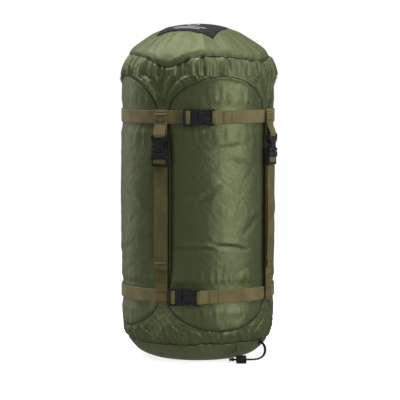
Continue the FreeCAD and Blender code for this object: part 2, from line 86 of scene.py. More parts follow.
# ---- directions round the sack: turn 0 is the front, 90 the right ----
def outward(turn):
    angle = math.radians(turn)
    return Vector((math.sin(angle), -math.cos(angle), 0))


def rightward(turn):
    angle = math.radians(turn)
    return Vector((math.cos(angle), math.sin(angle), 0))


def wrapped(turn):
    """Degrees brought into -180 to 180, for numbers and arrays."""
    return (turn + 180.0) % 360.0 - 180.0


# ---- materials ----
def new_material(name, roughness, specular=0.5, sheen=0.0, sheen_tint=(1, 1, 1), metallic=0.0):
    material = bpy.data.materials.new(name)
    material.use_nodes = True
    tree = material.node_tree
    shader = tree.nodes["Principled BSDF"]
    shader.inputs["Roughness"].default_value = roughness
    shader.inputs["Specular IOR Level"].default_value = specular
    shader.inputs["Metallic"].default_value = metallic
    shader.inputs["Sheen Weight"].default_value = sheen
    shader.inputs["Sheen Roughness"].default_value = 0.4
    shader.inputs["Sheen Tint"].default_value = (*sheen_tint, 1)
    return material, tree, shader


def node(tree, kind, **settings):
    made = tree.nodes.new(kind)
    for name, value in settings.items():
        if name in made.inputs:
            made.inputs[name].default_value = value
        else:
            setattr(made, name, value)
    return made


def noise_on(tree, scale, stretch=(1, 1, 1), detail=3.0, roughness=0.5, source="Object"):
    """A noise texture on the object's coordinates, scale in features per metre."""
    place = node(tree, "ShaderNodeTexCoord")
    mapping = node(tree, "ShaderNodeMapping")
    mapping.inputs["Scale"].default_value = stretch
    texture = node(tree, "ShaderNodeTexNoise", Scale=scale, Detail=detail, Roughness=roughness)
    tree.links.new(place.outputs[source], mapping.inputs["Vector"])
    tree.links.new(mapping.outputs["Vector"], texture.inputs["Vector"])
    return texture.outputs["Fac"]


def ramp(tree, value, stops):
    made = node(tree, "ShaderNodeValToRGB")
    elements = made.color_ramp.elements
    for k, (position, colour) in enumerate(stops):
        element = elements[k] if k < 2 else elements.new(position)
        element.position = position
        element.color = (*colour, 1)
    tree.links.new(value, made.inputs["Fac"])
    return made.outputs["Color"]


def maths(tree, operation, a, b=None, clamp=False):
    made = node(tree, "ShaderNodeMath", operation=operation)
    made.use_clamp = clamp
    for k, value in enumerate((a, b)):
        if value is None:
            continue
        if isinstance(value, (int, float)):
            made.inputs[k].default_value = value
        else:
            tree.links.new(value, made.inputs[k])
    return made.outputs["Value"]


def bump(tree, shader, layers):
    """Chains bump layers of (height, distance in metres, strength) into the shader's normal."""
    normal = None
    for height, distance, strength in layers:
        made = node(tree, "ShaderNodeBump", Strength=strength, Distance=distance)
        tree.links.new(height, made.inputs["Height"])
        if normal is not None:
            tree.links.new(normal, made.inputs["Normal"])
        normal = made.outputs["Normal"]
    tree.links.new(normal, shader.inputs["Normal"])


def scaled(colour, factor):
    return tuple(c * factor for c in colour)


def tint(tree, shader, value, stops):
    """Base colour that follows a value through these (place, colour) stops."""
    tree.links.new(ramp(tree, value, stops), shader.inputs["Base Color"])


def shade(tree, shader, value, colour, darkest, lightest, low=0.3, high=0.7):
    """Base colour that follows a value from a darker to a lighter shade of one colour."""
    tint(tree, shader, value, [(low, scaled(colour, darkest)), (high, scaled(colour, lightest))])


def vary_gloss(tree, shader, value, roughness, swing, low=0.3, high=0.7):
    """Roughness that follows a value from this much below its mean to as much above it."""
    stops = [(low, (roughness - swing,) * 3), (high, (roughness + swing,) * 3)]
    tree.links.new(ramp(tree, value, stops), shader.inputs["Roughness"])


def cloth_distances(tree):
    """A cloth's distances along and across it in metres, from its UV map."""
    place = node(tree, "ShaderNodeTexCoord")
    split = node(tree, "ShaderNodeSeparateXYZ")
    tree.links.new(place.outputs["UV"], split.inputs[0])
    return split.outputs["X"], split.outputs["Y"]


def wave(tree, distance, pitch):
    return maths(tree, "SINE", maths(tree, "MULTIPLY", distance, 2 * math.pi / pitch))


def woven_height(tree, pitch):
    """A plain weave's relief: the product of two crossed waves of this pitch in metres."""
    along, across = cloth_distances(tree)
    return maths(tree, "MULTIPLY", wave(tree, along, pitch), wave(tree, across, pitch))


def nylon(name, colour, roughness, crinkle):
    """Smooth satin nylon: a fine plain weave, soft crinkles and a faint sheen."""
    material, tree, shader = new_material(name, roughness, 1.0, sheen=0.06, sheen_tint=(0.85, 0.95, 0.6))
    shader.inputs["Specular Tint"].default_value = (0.86, 1.0, 0.52, 1)
    shader.inputs["IOR"].default_value = 1.65
    shade(tree, shader, noise_on(tree, 9.0, detail=4.0), colour, 0.88, 1.12)
    vary_gloss(tree, shader, noise_on(tree, 60.0, detail=2.0), roughness, 0.04)
    bump(tree, shader, [
        (noise_on(tree, 85.0, stretch=(1, 1, 0.45)), 0.0016 * crinkle, 0.6),
        (noise_on(tree, 260.0, detail=2.0), 0.0004 * crinkle, 0.5),
        (woven_height(tree, 0.0007), 0.00006, 0.5),
    ])
    return material


def webbing_material(name, colour):
    """Tightly woven nylon webbing: ribs across it, a faint herringbone and worn patches."""
    material, tree, shader = new_material(name, 0.60, 0.60, sheen=0.25, sheen_tint=(1.0, 0.93, 0.7))
    along, across = cloth_distances(tree)
    zigzag = maths(tree, "PINGPONG", maths(tree, "ABSOLUTE", across), 0.0034)
    zigzag = maths(tree, "MULTIPLY", zigzag, 2600.0)
    slant = maths(tree, "ADD", maths(tree, "MULTIPLY", along, 900.0), zigzag)
    ribs = maths(tree, "MULTIPLY", wave(tree, along, 0.0011), 0.6)
    herringbone = maths(tree, "MULTIPLY", maths(tree, "SINE", slant), 0.4)
    pattern = maths(tree, "ADD", ribs, herringbone)
    tone = maths(tree, "ADD", maths(tree, "MULTIPLY", pattern, 0.13), noise_on(tree, 40.0, detail=4.0))
    shade(tree, shader, tone, colour, 0.72, 1.28, low=0.28, high=0.72)
    bump(tree, shader, [(pattern, 0.00022, 0.8), (noise_on(tree, 900.0), 0.0001, 0.4)])
    return material


def moulded_plastic(name, colour, roughness):
    """Black acetal with a fine moulded grain and an uneven gloss."""
    material, tree, shader = new_material(name, roughness, 0.5)
    shade(tree, shader, noise_on(tree, 70.0), colour, 0.85, 1.25)
    vary_gloss(tree, shader, noise_on(tree, 220.0), roughness, 0.07, low=0.35, high=0.65)
    bump(tree, shader, [(noise_on(tree, 2600.0, detail=2.0), 0.00005, 0.5)])
    return material


def thread(name, colour):
    """Twisted sewing thread."""
    material, tree, shader = new_material(name, 0.6, 0.4, sheen=0.2)
    twist = noise_on(tree, 1500.0, stretch=(1, 1, 3))
    shade(tree, shader, twist, colour, 0.7, 1.3)
    bump(tree, shader, [(twist, 0.0001, 0.6)])
    return material


def braided_cord():
    """Black braid, with small raised strands."""
    material, tree, shader = new_material("cord_braid", 0.55, 0.4, sheen=0.2)
    strands = noise_on(tree, 900.0, stretch=(1, 1, 1.6), detail=1.0)
    tint(tree, shader, strands, [(0.35, (0.008, 0.008, 0.009)), (0.65, (0.035, 0.035, 0.037))])
    bump(tree, shader, [(strands, 0.0003, 0.8)])
    return material


def spring_steel():
    """Bright drawn wire."""
    material, tree, shader = new_material("spring_wire", 0.3, metallic=1.0)
    drawn = noise_on(tree, 400.0, stretch=(1, 8, 1))
    tint(tree, shader, drawn, [(0.3, (0.42, 0.42, 0.42)), (0.7, (0.62, 0.62, 0.62))])
    return material


def label_material():
    """Black satin label cloth with a close weave."""
    material, tree, shader = new_material("label_twill", 0.6, 0.3, sheen=0.08)
    cloth = noise_on(tree, 30.0, detail=4.0)
    tint(tree, shader, cloth, [(0.3, (0.007, 0.007, 0.008)), (0.7, (0.015, 0.015, 0.017))])
    bump(tree, shader, [(woven_height(tree, 0.0008), 0.00008, 0.6), (noise_on(tree, 120.0), 0.0006, 0.5)])
    return material


def floor_material():
    """Pale matt paint that glows a little, so that the floor stays as light as the backdrop."""
    material, tree, shader = new_material("floor_paint", 0.9, 0.1)
    shader.inputs["Emission Color"].default_value = (1, 1, 1, 1)
    shader.inputs["Emission Strength"].default_value = 0.80
    tint(tree, shader, noise_on(tree, 3.0), [(0.3, (0.90, 0.90, 0.90)), (0.7, (0.93, 0.93, 0.93))])
    return material


PANEL_GREEN = (0.067, 0.079, 0.033)
MATERIALS = {
    "panel": nylon("panel_nylon", PANEL_GREEN, 0.38, crinkle=0.6),
    # The top end is the panel green painted lighter, for the light that falls on it from above
    "dome": nylon("dome_nylon_painted_light", scaled(PANEL_GREEN, 1.28), 0.50, crinkle=0.8),
    "lattice": nylon("lattice_nylon", scaled(PANEL_GREEN, 1.12), 0.42, crinkle=1.2),
    # The base end is the panel green painted much lighter, for light bounced up from the floor
    "base": nylon("base_nylon_painted_light", scaled(PANEL_GREEN, 1.75), 0.44, crinkle=1.0),
    # One webbing in two copies: painted lighter on the belts, where the light falls, and painted darker on
    # the upright straps, which stand in shade
    "lit_belt_webbing": webbing_material("belt_weave_painted_light", (0.235, 0.196, 0.068)),
    "shaded_strap_webbing": webbing_material("strap_weave_painted_shade", (0.190, 0.150, 0.042)),
    "buckle": moulded_plastic("buckle_acetal", (0.016, 0.0165, 0.019), 0.40),
    "lock": moulded_plastic("lock_acetal", (0.014, 0.014, 0.015), 0.42),
    "seam_thread": thread("seam_thread", (0.022, 0.026, 0.012)),
    # painted shade: a dark line that stands for the shadow in the seams' grooves
    "seam_shadow": thread("seam_painted_shadow", (0.016, 0.019, 0.009)),
    "web_thread": thread("web_thread", (0.185, 0.148, 0.050)),
    "label": label_material(),
    "label_thread": thread("label_thread", (0.62, 0.62, 0.60)),
    "cord": braided_cord(),
    "steel": spring_steel(),
}


def mesh_object(name, vertices, faces, material, smooth=True, uvs=None):
    mesh = bpy.data.meshes.new(name)
    mesh.from_pydata([tuple(v) for v in vertices], [], [tuple(int(i) for i in f) for f in faces])
    mesh.update()
    if uvs is not None:
        layer = mesh.uv_layers.new(name="cloth")
        loops = np.empty(len(mesh.loops), dtype=np.int32)
        mesh.loops.foreach_get("vertex_index", loops)
        layer.data.foreach_set("uv", np.asarray(uvs, dtype=np.float32)[loops].ravel())
    mesh.polygons.foreach_set("use_smooth", [smooth] * len(mesh.polygons))
    mesh.materials.append(material)
    obj = bpy.data.objects.new(name, mesh)
    bpy.context.scene.collection.objects.link(obj)
    return obj


# ---- the sack's surface as a grid of turn by distance along the profile ----
ROUND_POINTS = 200     # on each rounded end of the profile


def dense_profile():
    """(radius, height) from the centre of the base to the crown."""
    quarter = np.linspace(0, math.pi / 2, ROUND_POINTS)
    flat = np.stack([np.linspace(0, BASE_FLAT_RADIUS, 50), np.zeros(50)], 1)
    base = np.stack([BASE_FLAT_RADIUS + (BODY_RADIUS - BASE_FLAT_RADIUS) * np.sin(quarter),
                     BASE_RISE * (1 - np.cos(quarter))], 1)
    power = 2 / DOME_POWER
    dome = np.stack([BODY_RADIUS * np.cos(quarter).clip(0) ** power,
                     HEIGHT - DOME_RISE + DOME_RISE * np.sin(quarter) ** power], 1)
    return np.concatenate([flat, base[1:], dome])


PROFILE = dense_profile()
PROFILE_S = np.concatenate([[0], np.cumsum(np.hypot(*np.diff(PROFILE, axis=0).T))])
PROFILE_LENGTH = PROFILE_S[-1]
WALL_START = int(np.argmax(PROFILE[:, 1] > 1e-6))


def at_distance(s):
    """Radius and height at a distance along the profile."""
    return np.interp(s, PROFILE_S, PROFILE[:, 0]), np.interp(s, PROFILE_S, PROFILE[:, 1])


def distance_at_height(z):
    return np.interp(z, PROFILE[WALL_START:, 1], PROFILE_S[WALL_START:])


def distance_at_dome_radius(r):
    dome = slice(-1, -ROUND_POINTS + 19, -1)     # the crown first, and short of the upright wall
    return np.interp(r, PROFILE[dome, 0], PROFILE_S[dome])


def plain_surface(turn, s):
    """Points and outward normals of the smooth sack, for arrays of turns and distances."""
    step = 0.0008
    r, z = at_distance(s)
    r0, z0 = at_distance(np.clip(s - step, 0, PROFILE_LENGTH))
    r1, z1 = at_distance(np.clip(s + step, 0, PROFILE_LENGTH))
    dr, dz = r1 - r0, z1 - z0
    size = np.hypot(dr, dz)
    angle = np.radians(turn)
    sine, cosine = np.sin(angle), np.cos(angle)
    points = np.stack([r * sine, -r * cosine, z], -1)
    normals = np.stack([dz / size * sine, -dz / size * cosine, -dr / size], -1)
    return points, normals


PANEL_HALF_WIDTH = BODY_RADIUS * math.sin(math.radians(45) - LATTICE_NECK / 2 / BODY_RADIUS)


def panel_distance(turn, r, z, centre):
    """Signed distance to a side panel's outline, negative inside it."""
    half = PANEL_HALF_WIDTH
    delta = np.radians(wrapped(turn - centre))
    x = np.sqrt((r * np.sin(delta) / half) ** 2 + 1e-8)
    over = np.clip(z - (PANEL_HIGH_Z - PANEL_ARCH_HIGH), 0, None) / PANEL_ARCH_HIGH
    under = np.clip(PANEL_LOW_Z + PANEL_ARCH_LOW - z, 0, None) / PANEL_ARCH_LOW
    size = np.sqrt(x * x + over * over + under * under)
    slope = np.sqrt((x / half) ** 2 + (over / PANEL_ARCH_HIGH) ** 2 + (under / PANEL_ARCH_LOW) ** 2)
    distance = (size - 1) * size / slope
    return np.where(np.cos(delta) > 0.15, np.clip(distance, -0.05, 0.05), 0.05)


def nearest_panel(turn, r, z):
    """Signed distance to the nearest side panel's outline, negative inside a panel."""
    return np.min([panel_distance(turn, r, z, t + 45) for t in STRAP_TURNS], axis=0)


# Where the top seam is pulled down: turn, spread in degrees, depth (the last one is a rise)
SEAM_PULLS = [(STRAP_TURNS[0] + 3, 15, 0.0150), (STRAP_TURNS[1], 20, 0.0060), (STRAP_TURNS[2], 18, 0.0100),
              (STRAP_TURNS[3], 16, 0.0080), (-85, 25, -0.0050)]


def top_seam_height(turn):
    """The top seam hangs lower where each upright strap pulls it down."""
    height = TOP_SEAM_Z + 0.0035 + 0.0015 * np.sin(np.radians(turn * 5 + 40))
    for centre, spread, depth in SEAM_PULLS:
        height = height - depth * np.exp(-(wrapped(turn - centre) / spread) ** 2)
    return height


def base_seam_height(turn):
    """The base seam is nearly level, with a slight waver."""
    return BASE_SEAM_Z + 0.0012 * np.sin(np.radians(turn * 3 + 10)) + 0.0006 * np.sin(np.radians(turn * 11))


def strap_offset(turn):
    """Signed degrees from the nearest upright strap."""
    return (turn - STRAP_TURNS[0] + 45.0) % 90.0 - 45.0


def wedge_turn(turn, z):
    """The turn with the fabric between two panels opened out, so that folds fan from each neck."""
    over = np.clip((z - (PANEL_HIGH_Z - PANEL_ARCH_HIGH)) / PANEL_ARCH_HIGH, 0, 1)
    under = np.clip((PANEL_LOW_Z + PANEL_ARCH_LOW - z) / PANEL_ARCH_LOW, 0, 1)
    reach = np.sqrt(np.clip(1 - np.maximum(over, under) ** 2, 0, 1))
    neck = 45.0 - np.degrees(np.arcsin(PANEL_HALF_WIDTH * reach / BODY_RADIUS))
    offset = strap_offset(turn)
    spread = np.where(np.abs(offset) < neck, offset / neck, np.sign(offset))
    return turn - offset + 45.0 * spread


def noise_field(a, b, c, seed):
    """Smooth noise at arrays of three coordinates."""
    shape = np.shape(a)
    flat = zip(np.ravel(a), np.ravel(b), np.ravel(c))
    values = [noise.noise(Vector((x + seed, y - seed, z + 0.5 * seed))) for x, y, z in flat]
    return np.array(values).reshape(shape)


def round_noise(turn, z, per_turn, per_metre, seed):
    """Noise that closes on itself round the sack: per_turn features round it, per_metre up it."""
    angle = np.radians(turn)
    radius = per_turn / (2 * math.pi)
    return noise_field(radius * np.cos(angle), radius * np.sin(angle), z * per_metre, seed)


def soft_step(value, low, high):
    t = np.clip((value - low) / (high - low), 0, 1)
    return t * t * (3 - 2 * t)


def belt_nearness(z, reach):
    """1 on the belts, falling to 0 this far beyond their edges."""
    near = [1 - soft_step(np.abs(z - height), WEB_WIDTH / 2, WEB_WIDTH / 2 + reach)
            for height in BELT_HEIGHTS.values()]
    return np.maximum(*near)


# Single creases pressed into the panels: turn, height, half length, tilt in degrees, depth, width
CREASES = [
    (-4.0, 0.1775, 0.030, 1.0, 0.0017, 0.0026),
    (26.0, 0.1795, 0.026, -9.0, 0.0012, 0.0032),
    (8.0, 0.2620, 0.020, 34.0, 0.0013, 0.0040),
    (-2.0, 0.2440, 0.022, 27.0, 0.0010, 0.0040),
    (36.0, 0.3030, 0.030, -20.0, 0.0008, 0.0060),
    (44.0, 0.2150, 0.028, 38.0, 0.0009, 0.0060),
    (22.0, 0.3300, 0.024, 8.0, 0.0008, 0.0045),
    (-58.0, 0.2500, 0.030, -30.0, 0.0010, 0.0060),
    (-74.0, 0.1700, 0.032, 16.0, 0.0010, 0.0055),
    (96.0, 0.2300, 0.034, 24.0, 0.0012, 0.0060),
    (124.0, 0.1600, 0.030, -14.0, 0.0012, 0.0050),
    (108.0, 0.3100, 0.030, -32.0, 0.0010, 0.0060),
    (188.0, 0.2100, 0.036, 20.0, 0.0012, 0.0060),
    (206.0, 0.2900, 0.030, -26.0, 0.0010, 0.0050),
    (198.0, 0.1500, 0.028, -8.0, 0.0012, 0.0045),
]


def crease_relief(turn, z):
    relief = np.zeros_like(z)
    for centre, height, half_length, tilt, depth, width in CREASES:
        across = BODY_RADIUS * np.radians(wrapped(turn - centre))
        up = z - height
        cosine, sine = math.cos(math.radians(tilt)), math.sin(math.radians(tilt))
        along = (across * cosine + up * sine) / half_length
        over = (up * cosine - across * sine) / width + 0.5 * along * along
        fade = np.exp(-along ** 4)
        relief += depth * fade * (0.75 * np.exp(-((over - 1.7) / 1.5) ** 2) - np.exp(-over ** 2))
    return relief


# Depths of each kind of relief
GATHER, UPPER_GATHER, LOWER_GATHER = 0.0006, 0.0025, 0.0009     # everywhere, and added at each end
TOP_LEAN, TOP_TUCK, BASE_TUCK = 0.0032, 0.0008, 0.0013
BILLOW, DENT, DENT_RIM = 0.0013, 0.0018, 0.0004
BELT_SWELL, BELT_PUCKER, BELT_PINCH = 0.0011, 0.0014, 0.0004
DOME_LEDGE, DOME_SLACK, DOME_SAG = 0.0030, 0.0034, 0.0030       # at the seam, and at the shoulder
DOME_PLEAT, DOME_SWELL = 0.0018, 0.0022
PANEL_SEAM_DIP, TOP_SEAM_DIP, BASE_SEAM_DIP = 0.0011, 0.0009, 0.0013
STRAP_PUFF, STRAP_PRESS, STRAP_FOLD = 0.0026, 0.0010, 0.0045


def mound(value, width):
    """A smooth mound, 1 in the middle and falling off over this width."""
    return np.exp(-(value / width) ** 2)


def gather_relief(turn, z):
    """Gathers that fan out from each neck between two panels, with finer ones past the panels' ends."""
    fan = wedge_turn(turn, z)
    past_panels = 1 - soft_step(z, PANEL_LOW_Z + 0.002, PANEL_LOW_Z + 0.022)
    past_panels += soft_step(z, PANEL_HIGH_Z - 0.022, PANEL_HIGH_Z - 0.002)
    gathers = 2.6 * np.abs(round_noise(fan, z, 38, 7, 3.1)) - 0.7
    fine_gathers = past_panels * (2.6 * np.abs(round_noise(fan, z, 120, 8, 8.7)) - 0.6)
    upper = soft_step(z, 0.365, 0.405)
    lower = 1 - soft_step(z, 0.070, 0.100)
    depth = GATHER + UPPER_GATHER * upper + LOWER_GATHER * lower
    return depth * (0.9 * gathers + fine_gathers)


def tuck_relief(turn, z, above, below):
    """Small tucks where the cloth is sewn into the top and base seams."""
    tucks = 1 - 2.2 * np.abs(round_noise(turn, z, 84, 20, 5.3))
    base_tucks = 1 - 2.2 * np.abs(round_noise(turn + below * 300, z, 70, 12, 13.3))
    return TOP_TUCK * tucks * mound(above, 0.012) + BASE_TUCK * base_tucks * mound(below, 0.014)


def billow_relief(turn, z, on_panel, on_base):
    """Broad swells of the filled cloth, with dents and creases on the panels."""
    billow = round_noise(turn, z, 7, 9, 1.7) + 0.5 * round_noise(turn + z * 160, z, 16, 16, 2.9)
    dents = np.clip(0.22 - np.abs(round_noise(turn - z * 400, z, 15, 13, 6.1)), 0, 1)
    relief = BILLOW * billow * (0.35 + 0.65 * on_panel) * (1 - on_base)
    relief += (DENT_RIM - DENT * dents) * on_panel * (1 - belt_nearness(z, 0.03))
    return relief + crease_relief(turn, z) * on_panel


def belted(relief, turn, z, on_panel):
    """The relief with the belts on it: pinched under them, and swollen and puckered beside them."""
    pinch = belt_nearness(z, 0.016)
    swell = belt_nearness(z, 0.045) - pinch
    puckers = round_noise(turn, z, 100, 30, 4.4) * (0.4 + 0.6 * on_panel)
    relief = relief + BELT_SWELL * swell + BELT_PUCKER * puckers * swell
    return relief * (1 - pinch) - BELT_PINCH * pinch


def dome_relief(turn, s, r, above):
    """The top end: stepped in at its seam, slack at the shoulder, with pleats towards the crown."""
    settled = soft_step(above, 0.0, 0.012)
    slack = mound(r - 0.088, 0.022) * (DOME_SLACK + DOME_SAG * round_noise(turn, s, 5, 4, 11.3))
    pleats = 0.4 - 2.0 * np.abs(round_noise(turn, s, 30, 5, 9.2))
    swells = round_noise(turn, s, 5, 12, 7.7)
    return (DOME_PLEAT * pleats * soft_step(r, 0.045, 0.1) + DOME_SWELL * swells * soft_step(r, 0.03, 0.08)
            - DOME_LEDGE * (1 - settled) - slack * settled)


def strapped_down(relief, turn, z):
    """The relief with the straps on it: flat under them, a fold beside each and a swell between them."""
    offset = strap_offset(turn)
    puffed = soft_step(z, 0.118, 0.170) * (1 - soft_step(z, 0.310, 0.362))
    relief = relief + puffed * (STRAP_PUFF * soft_step(np.abs(offset), 5.5, 11.0) - STRAP_PRESS)
    relief = relief - STRAP_FOLD * puffed * mound(offset - 6.1, 1.1)
    under_strap = 1 - soft_step(np.abs(offset), 4.0, 8.0)
    between_belts = soft_step(z, 0.085, 0.10) * (1 - soft_step(z, 0.385, 0.40))
    return relief - under_strap * between_belts * np.clip(relief + 0.0008, 0, None)


def drawn_relief(turn, s):
    """How far the drawn cloth stands off the smooth sack, from folds, gathers, seams and belts."""
    r, z = at_distance(s)
    panel = nearest_panel(turn, r, z)
    above, below = z - top_seam_height(turn), z - base_seam_height(turn)
    on_panel = soft_step(-panel, -0.002, 0.008)
    on_dome = soft_step(above, -0.002, 0.002)
    on_base = 1 - soft_step(below, -0.002, 0.002)

    relief = (1 - on_panel) * (1 - on_dome) * (1 - on_base) * gather_relief(turn, z)
    relief -= TOP_LEAN * (1 - on_dome) * soft_step(above, -0.036, 0.004)
    relief += tuck_relief(turn, z, above, below)
    relief += billow_relief(turn, z, on_panel, on_base)
    relief = belted(relief, turn, z, on_panel)
    relief += on_dome * dome_relief(turn, s, r, above)
    relief -= PANEL_SEAM_DIP * mound(panel, 0.0014)
    relief -= TOP_SEAM_DIP * mound(above, 0.0018) + BASE_SEAM_DIP * mound(below, 0.0016)
    relief = strapped_down(relief, turn, z)
    on_floor = 1 - soft_step(z, 0.002, 0.016)
    return relief * (1 - on_floor) + on_floor * np.minimum(0.0, relief)


# ---- cloth simulation: spare cloth held at the belts, seams and straps settles into wrinkles ----
CLOTH_COLUMNS, CLOTH_ROWS, CLOTH_FRAMES = 150, 128, 22
LOOSE_SPARE, TIGHT_SPARE = 0.085, 0.001   # how much longer the cloth is than the load is round
CLOTH_END = 0.004                         # the cloth grid stops this far short of each pole
PANEL_PULL, OTHER_PULL = 0.46, 0.24       # how firmly the cloth is drawn to the load
MOST_OUT, MOST_IN, MOST_ASIDE = 0.0032, 0.0022, 0.0015     # how far it may move as it settles


def cloth_grid():
    turns = np.arange(CLOTH_COLUMNS) * 360.0 / CLOTH_COLUMNS
    distances = np.linspace(CLOTH_END, PROFILE_LENGTH - CLOTH_END, CLOTH_ROWS)
    return np.meshgrid(turns, distances, indexing="ij")


def cloth_hold(turn, s):
    """Pin weights: 1 where the cloth is sewn or belted, and a light pull to the load elsewhere."""
    r, z = at_distance(s)
    hold = np.where(nearest_panel(turn, r, z) < 0, PANEL_PULL, OTHER_PULL)
    strapped = (np.abs(strap_offset(turn)) < 5.5) & (z > 0.09) & (z < 0.39)
    seam = np.abs(z - top_seam_height(turn)) < 0.0028
    seam |= np.abs(z - base_seam_height(turn)) < 0.0028
    held = (belt_nearness(z, 0.001) > 0.5) | strapped | seam | (z < 0.004) | ((z > 0.5) & (r < 0.06))
    return np.where(held, 1.0, hold)


def cloth_tightness(turn, s):
    """How well the cloth fits the load: 1 has the least spare cloth, and 0 the most."""
    r, z = at_distance(s)
    tight = np.where(nearest_panel(turn, r, z) < 0.0, 0.995, np.where(z > 0.38, 0.95, 0.85))
    return np.where(z > top_seam_height(turn), 0.97, tight)


def set_fabric(modifier):
    """Light nylon that keeps its length, and whose own weight is too small to matter."""
    settings = modifier.settings
    settings.quality = 6
    settings.mass = 0.15
    settings.tension_stiffness = settings.compression_stiffness = 25
    settings.shear_stiffness = 8
    settings.bending_stiffness = 0.6
    settings.tension_damping = settings.compression_damping = 8
    settings.air_damping = 4
    settings.vertex_group_mass = "held"
    settings.pin_stiffness = 1.0
    settings.vertex_group_shrink = "tight"
    settings.shrink_min, settings.shrink_max = -LOOSE_SPARE, -TIGHT_SPARE
    settings.effector_weights.gravity = 0
    modifier.collision_settings.use_collision = False
    modifier.point_cache.frame_end = CLOTH_FRAMES


def settled_cloth():
    """Displacement vectors of the settled cloth on the cloth grid."""
    turn, s = cloth_grid()
    points, normals = plain_surface(turn, s)
    index = np.arange(turn.size).reshape(turn.shape)
    right = np.roll(index, -1, axis=0)
    faces = np.stack([index[:, :-1], right[:, :-1], right[:, 1:], index[:, 1:]], -1).reshape(-1, 4)
    jitter = 0.0003 * noise_field(points[..., 0] * 90, points[..., 1] * 90, points[..., 2] * 90, 12.0)
    start = points + normals * (0.5 * drawn_relief(turn, s) + jitter)[..., None]
    obj = mesh_object("cloth_shell", start.reshape(-1, 3), faces, MATERIALS["panel"])
    for group, weights in (("held", cloth_hold(turn, s)), ("tight", cloth_tightness(turn, s))):
        made = obj.vertex_groups.new(name=group)
        for k, weight in enumerate(weights.ravel()):
            made.add([k], float(weight), "REPLACE")
    set_fabric(obj.modifiers.new("cloth", "CLOTH"))
    scene = bpy.context.scene
    for step in range(1, CLOTH_FRAMES + 1):
        scene.frame_set(step)
    settled = obj.evaluated_get(bpy.context.evaluated_depsgraph_get()).data
    found = np.empty(turn.size * 3, dtype=np.float32)
    settled.vertices.foreach_get("co", found)
    scene.frame_set(1)
    mesh = obj.data
    bpy.data.objects.remove(obj)
    bpy.data.meshes.remove(mesh)
    moved = found.reshape(*turn.shape, 3) - start
    return capped(moved, normals) * (1 - belt_nearness(at_distance(s)[1], 0.004))[..., None]


def capped(moved, normals):
    """Keeps the cloth near the load: less inwards than outwards, and little sideways."""
    out = np.sum(moved * normals, -1, keepdims=True)
    side = moved - out * normals
    side_size = np.linalg.norm(side, axis=-1, keepdims=True)
    side = side * np.minimum(1, MOST_ASIDE / np.maximum(side_size, 1e-9))
    limit = np.where(out > 0, MOST_OUT, MOST_IN)
    return side + normals * limit * np.tanh(out / limit)


def cubic_weights(f):
    """Weights of the four neighbours of a place this far between the middle two."""
    return [((-0.5 * f + 1.0) * f - 0.5) * f, ((1.5 * f - 2.5) * f) * f + 1.0,
            ((-1.5 * f + 2.0) * f + 0.5) * f, ((0.5 * f - 0.5) * f) * f]


def from_cloth_grid(values, turn, s):
    """Smooth values of the cloth grid at any turn and distance."""
    column = np.asarray(turn % 360.0) * CLOTH_COLUMNS / 360.0
    inside = np.clip(s, CLOTH_END, PROFILE_LENGTH - CLOTH_END) - CLOTH_END
    row = inside / (PROFILE_LENGTH - 2 * CLOTH_END) * (CLOTH_ROWS - 1)
    c0, r0 = np.floor(column).astype(int), np.floor(row).astype(int)
    column_weights, row_weights = cubic_weights(column - c0), cubic_weights(row - r0)
    total = 0
    for i in range(4):
        for j in range(4):
            weight = column_weights[i] * row_weights[j]
            rows = np.clip(r0 + j - 1, 0, CLOTH_ROWS - 1)
            total = total + values[(c0 + i - 1) % CLOTH_COLUMNS, rows] * weight[..., None]
    return total


# ---- the fine shell, split along its seams ----
COLUMNS, ROWS = 400, 356
SHELL_END = 0.0008       # the grid stops this far short of each pole
SNAP_REACH = 0.58        # how far a point slides to a seam, in grid steps
LEAST_STEEPNESS = 0.2    # a seam's distance changes at least this fast where it is true


BASE_REGION, TOP_REGION = 5, 6
ENDS = {BASE_REGION: 0, TOP_REGION: -1}     # the grid's row that is closed at a pole


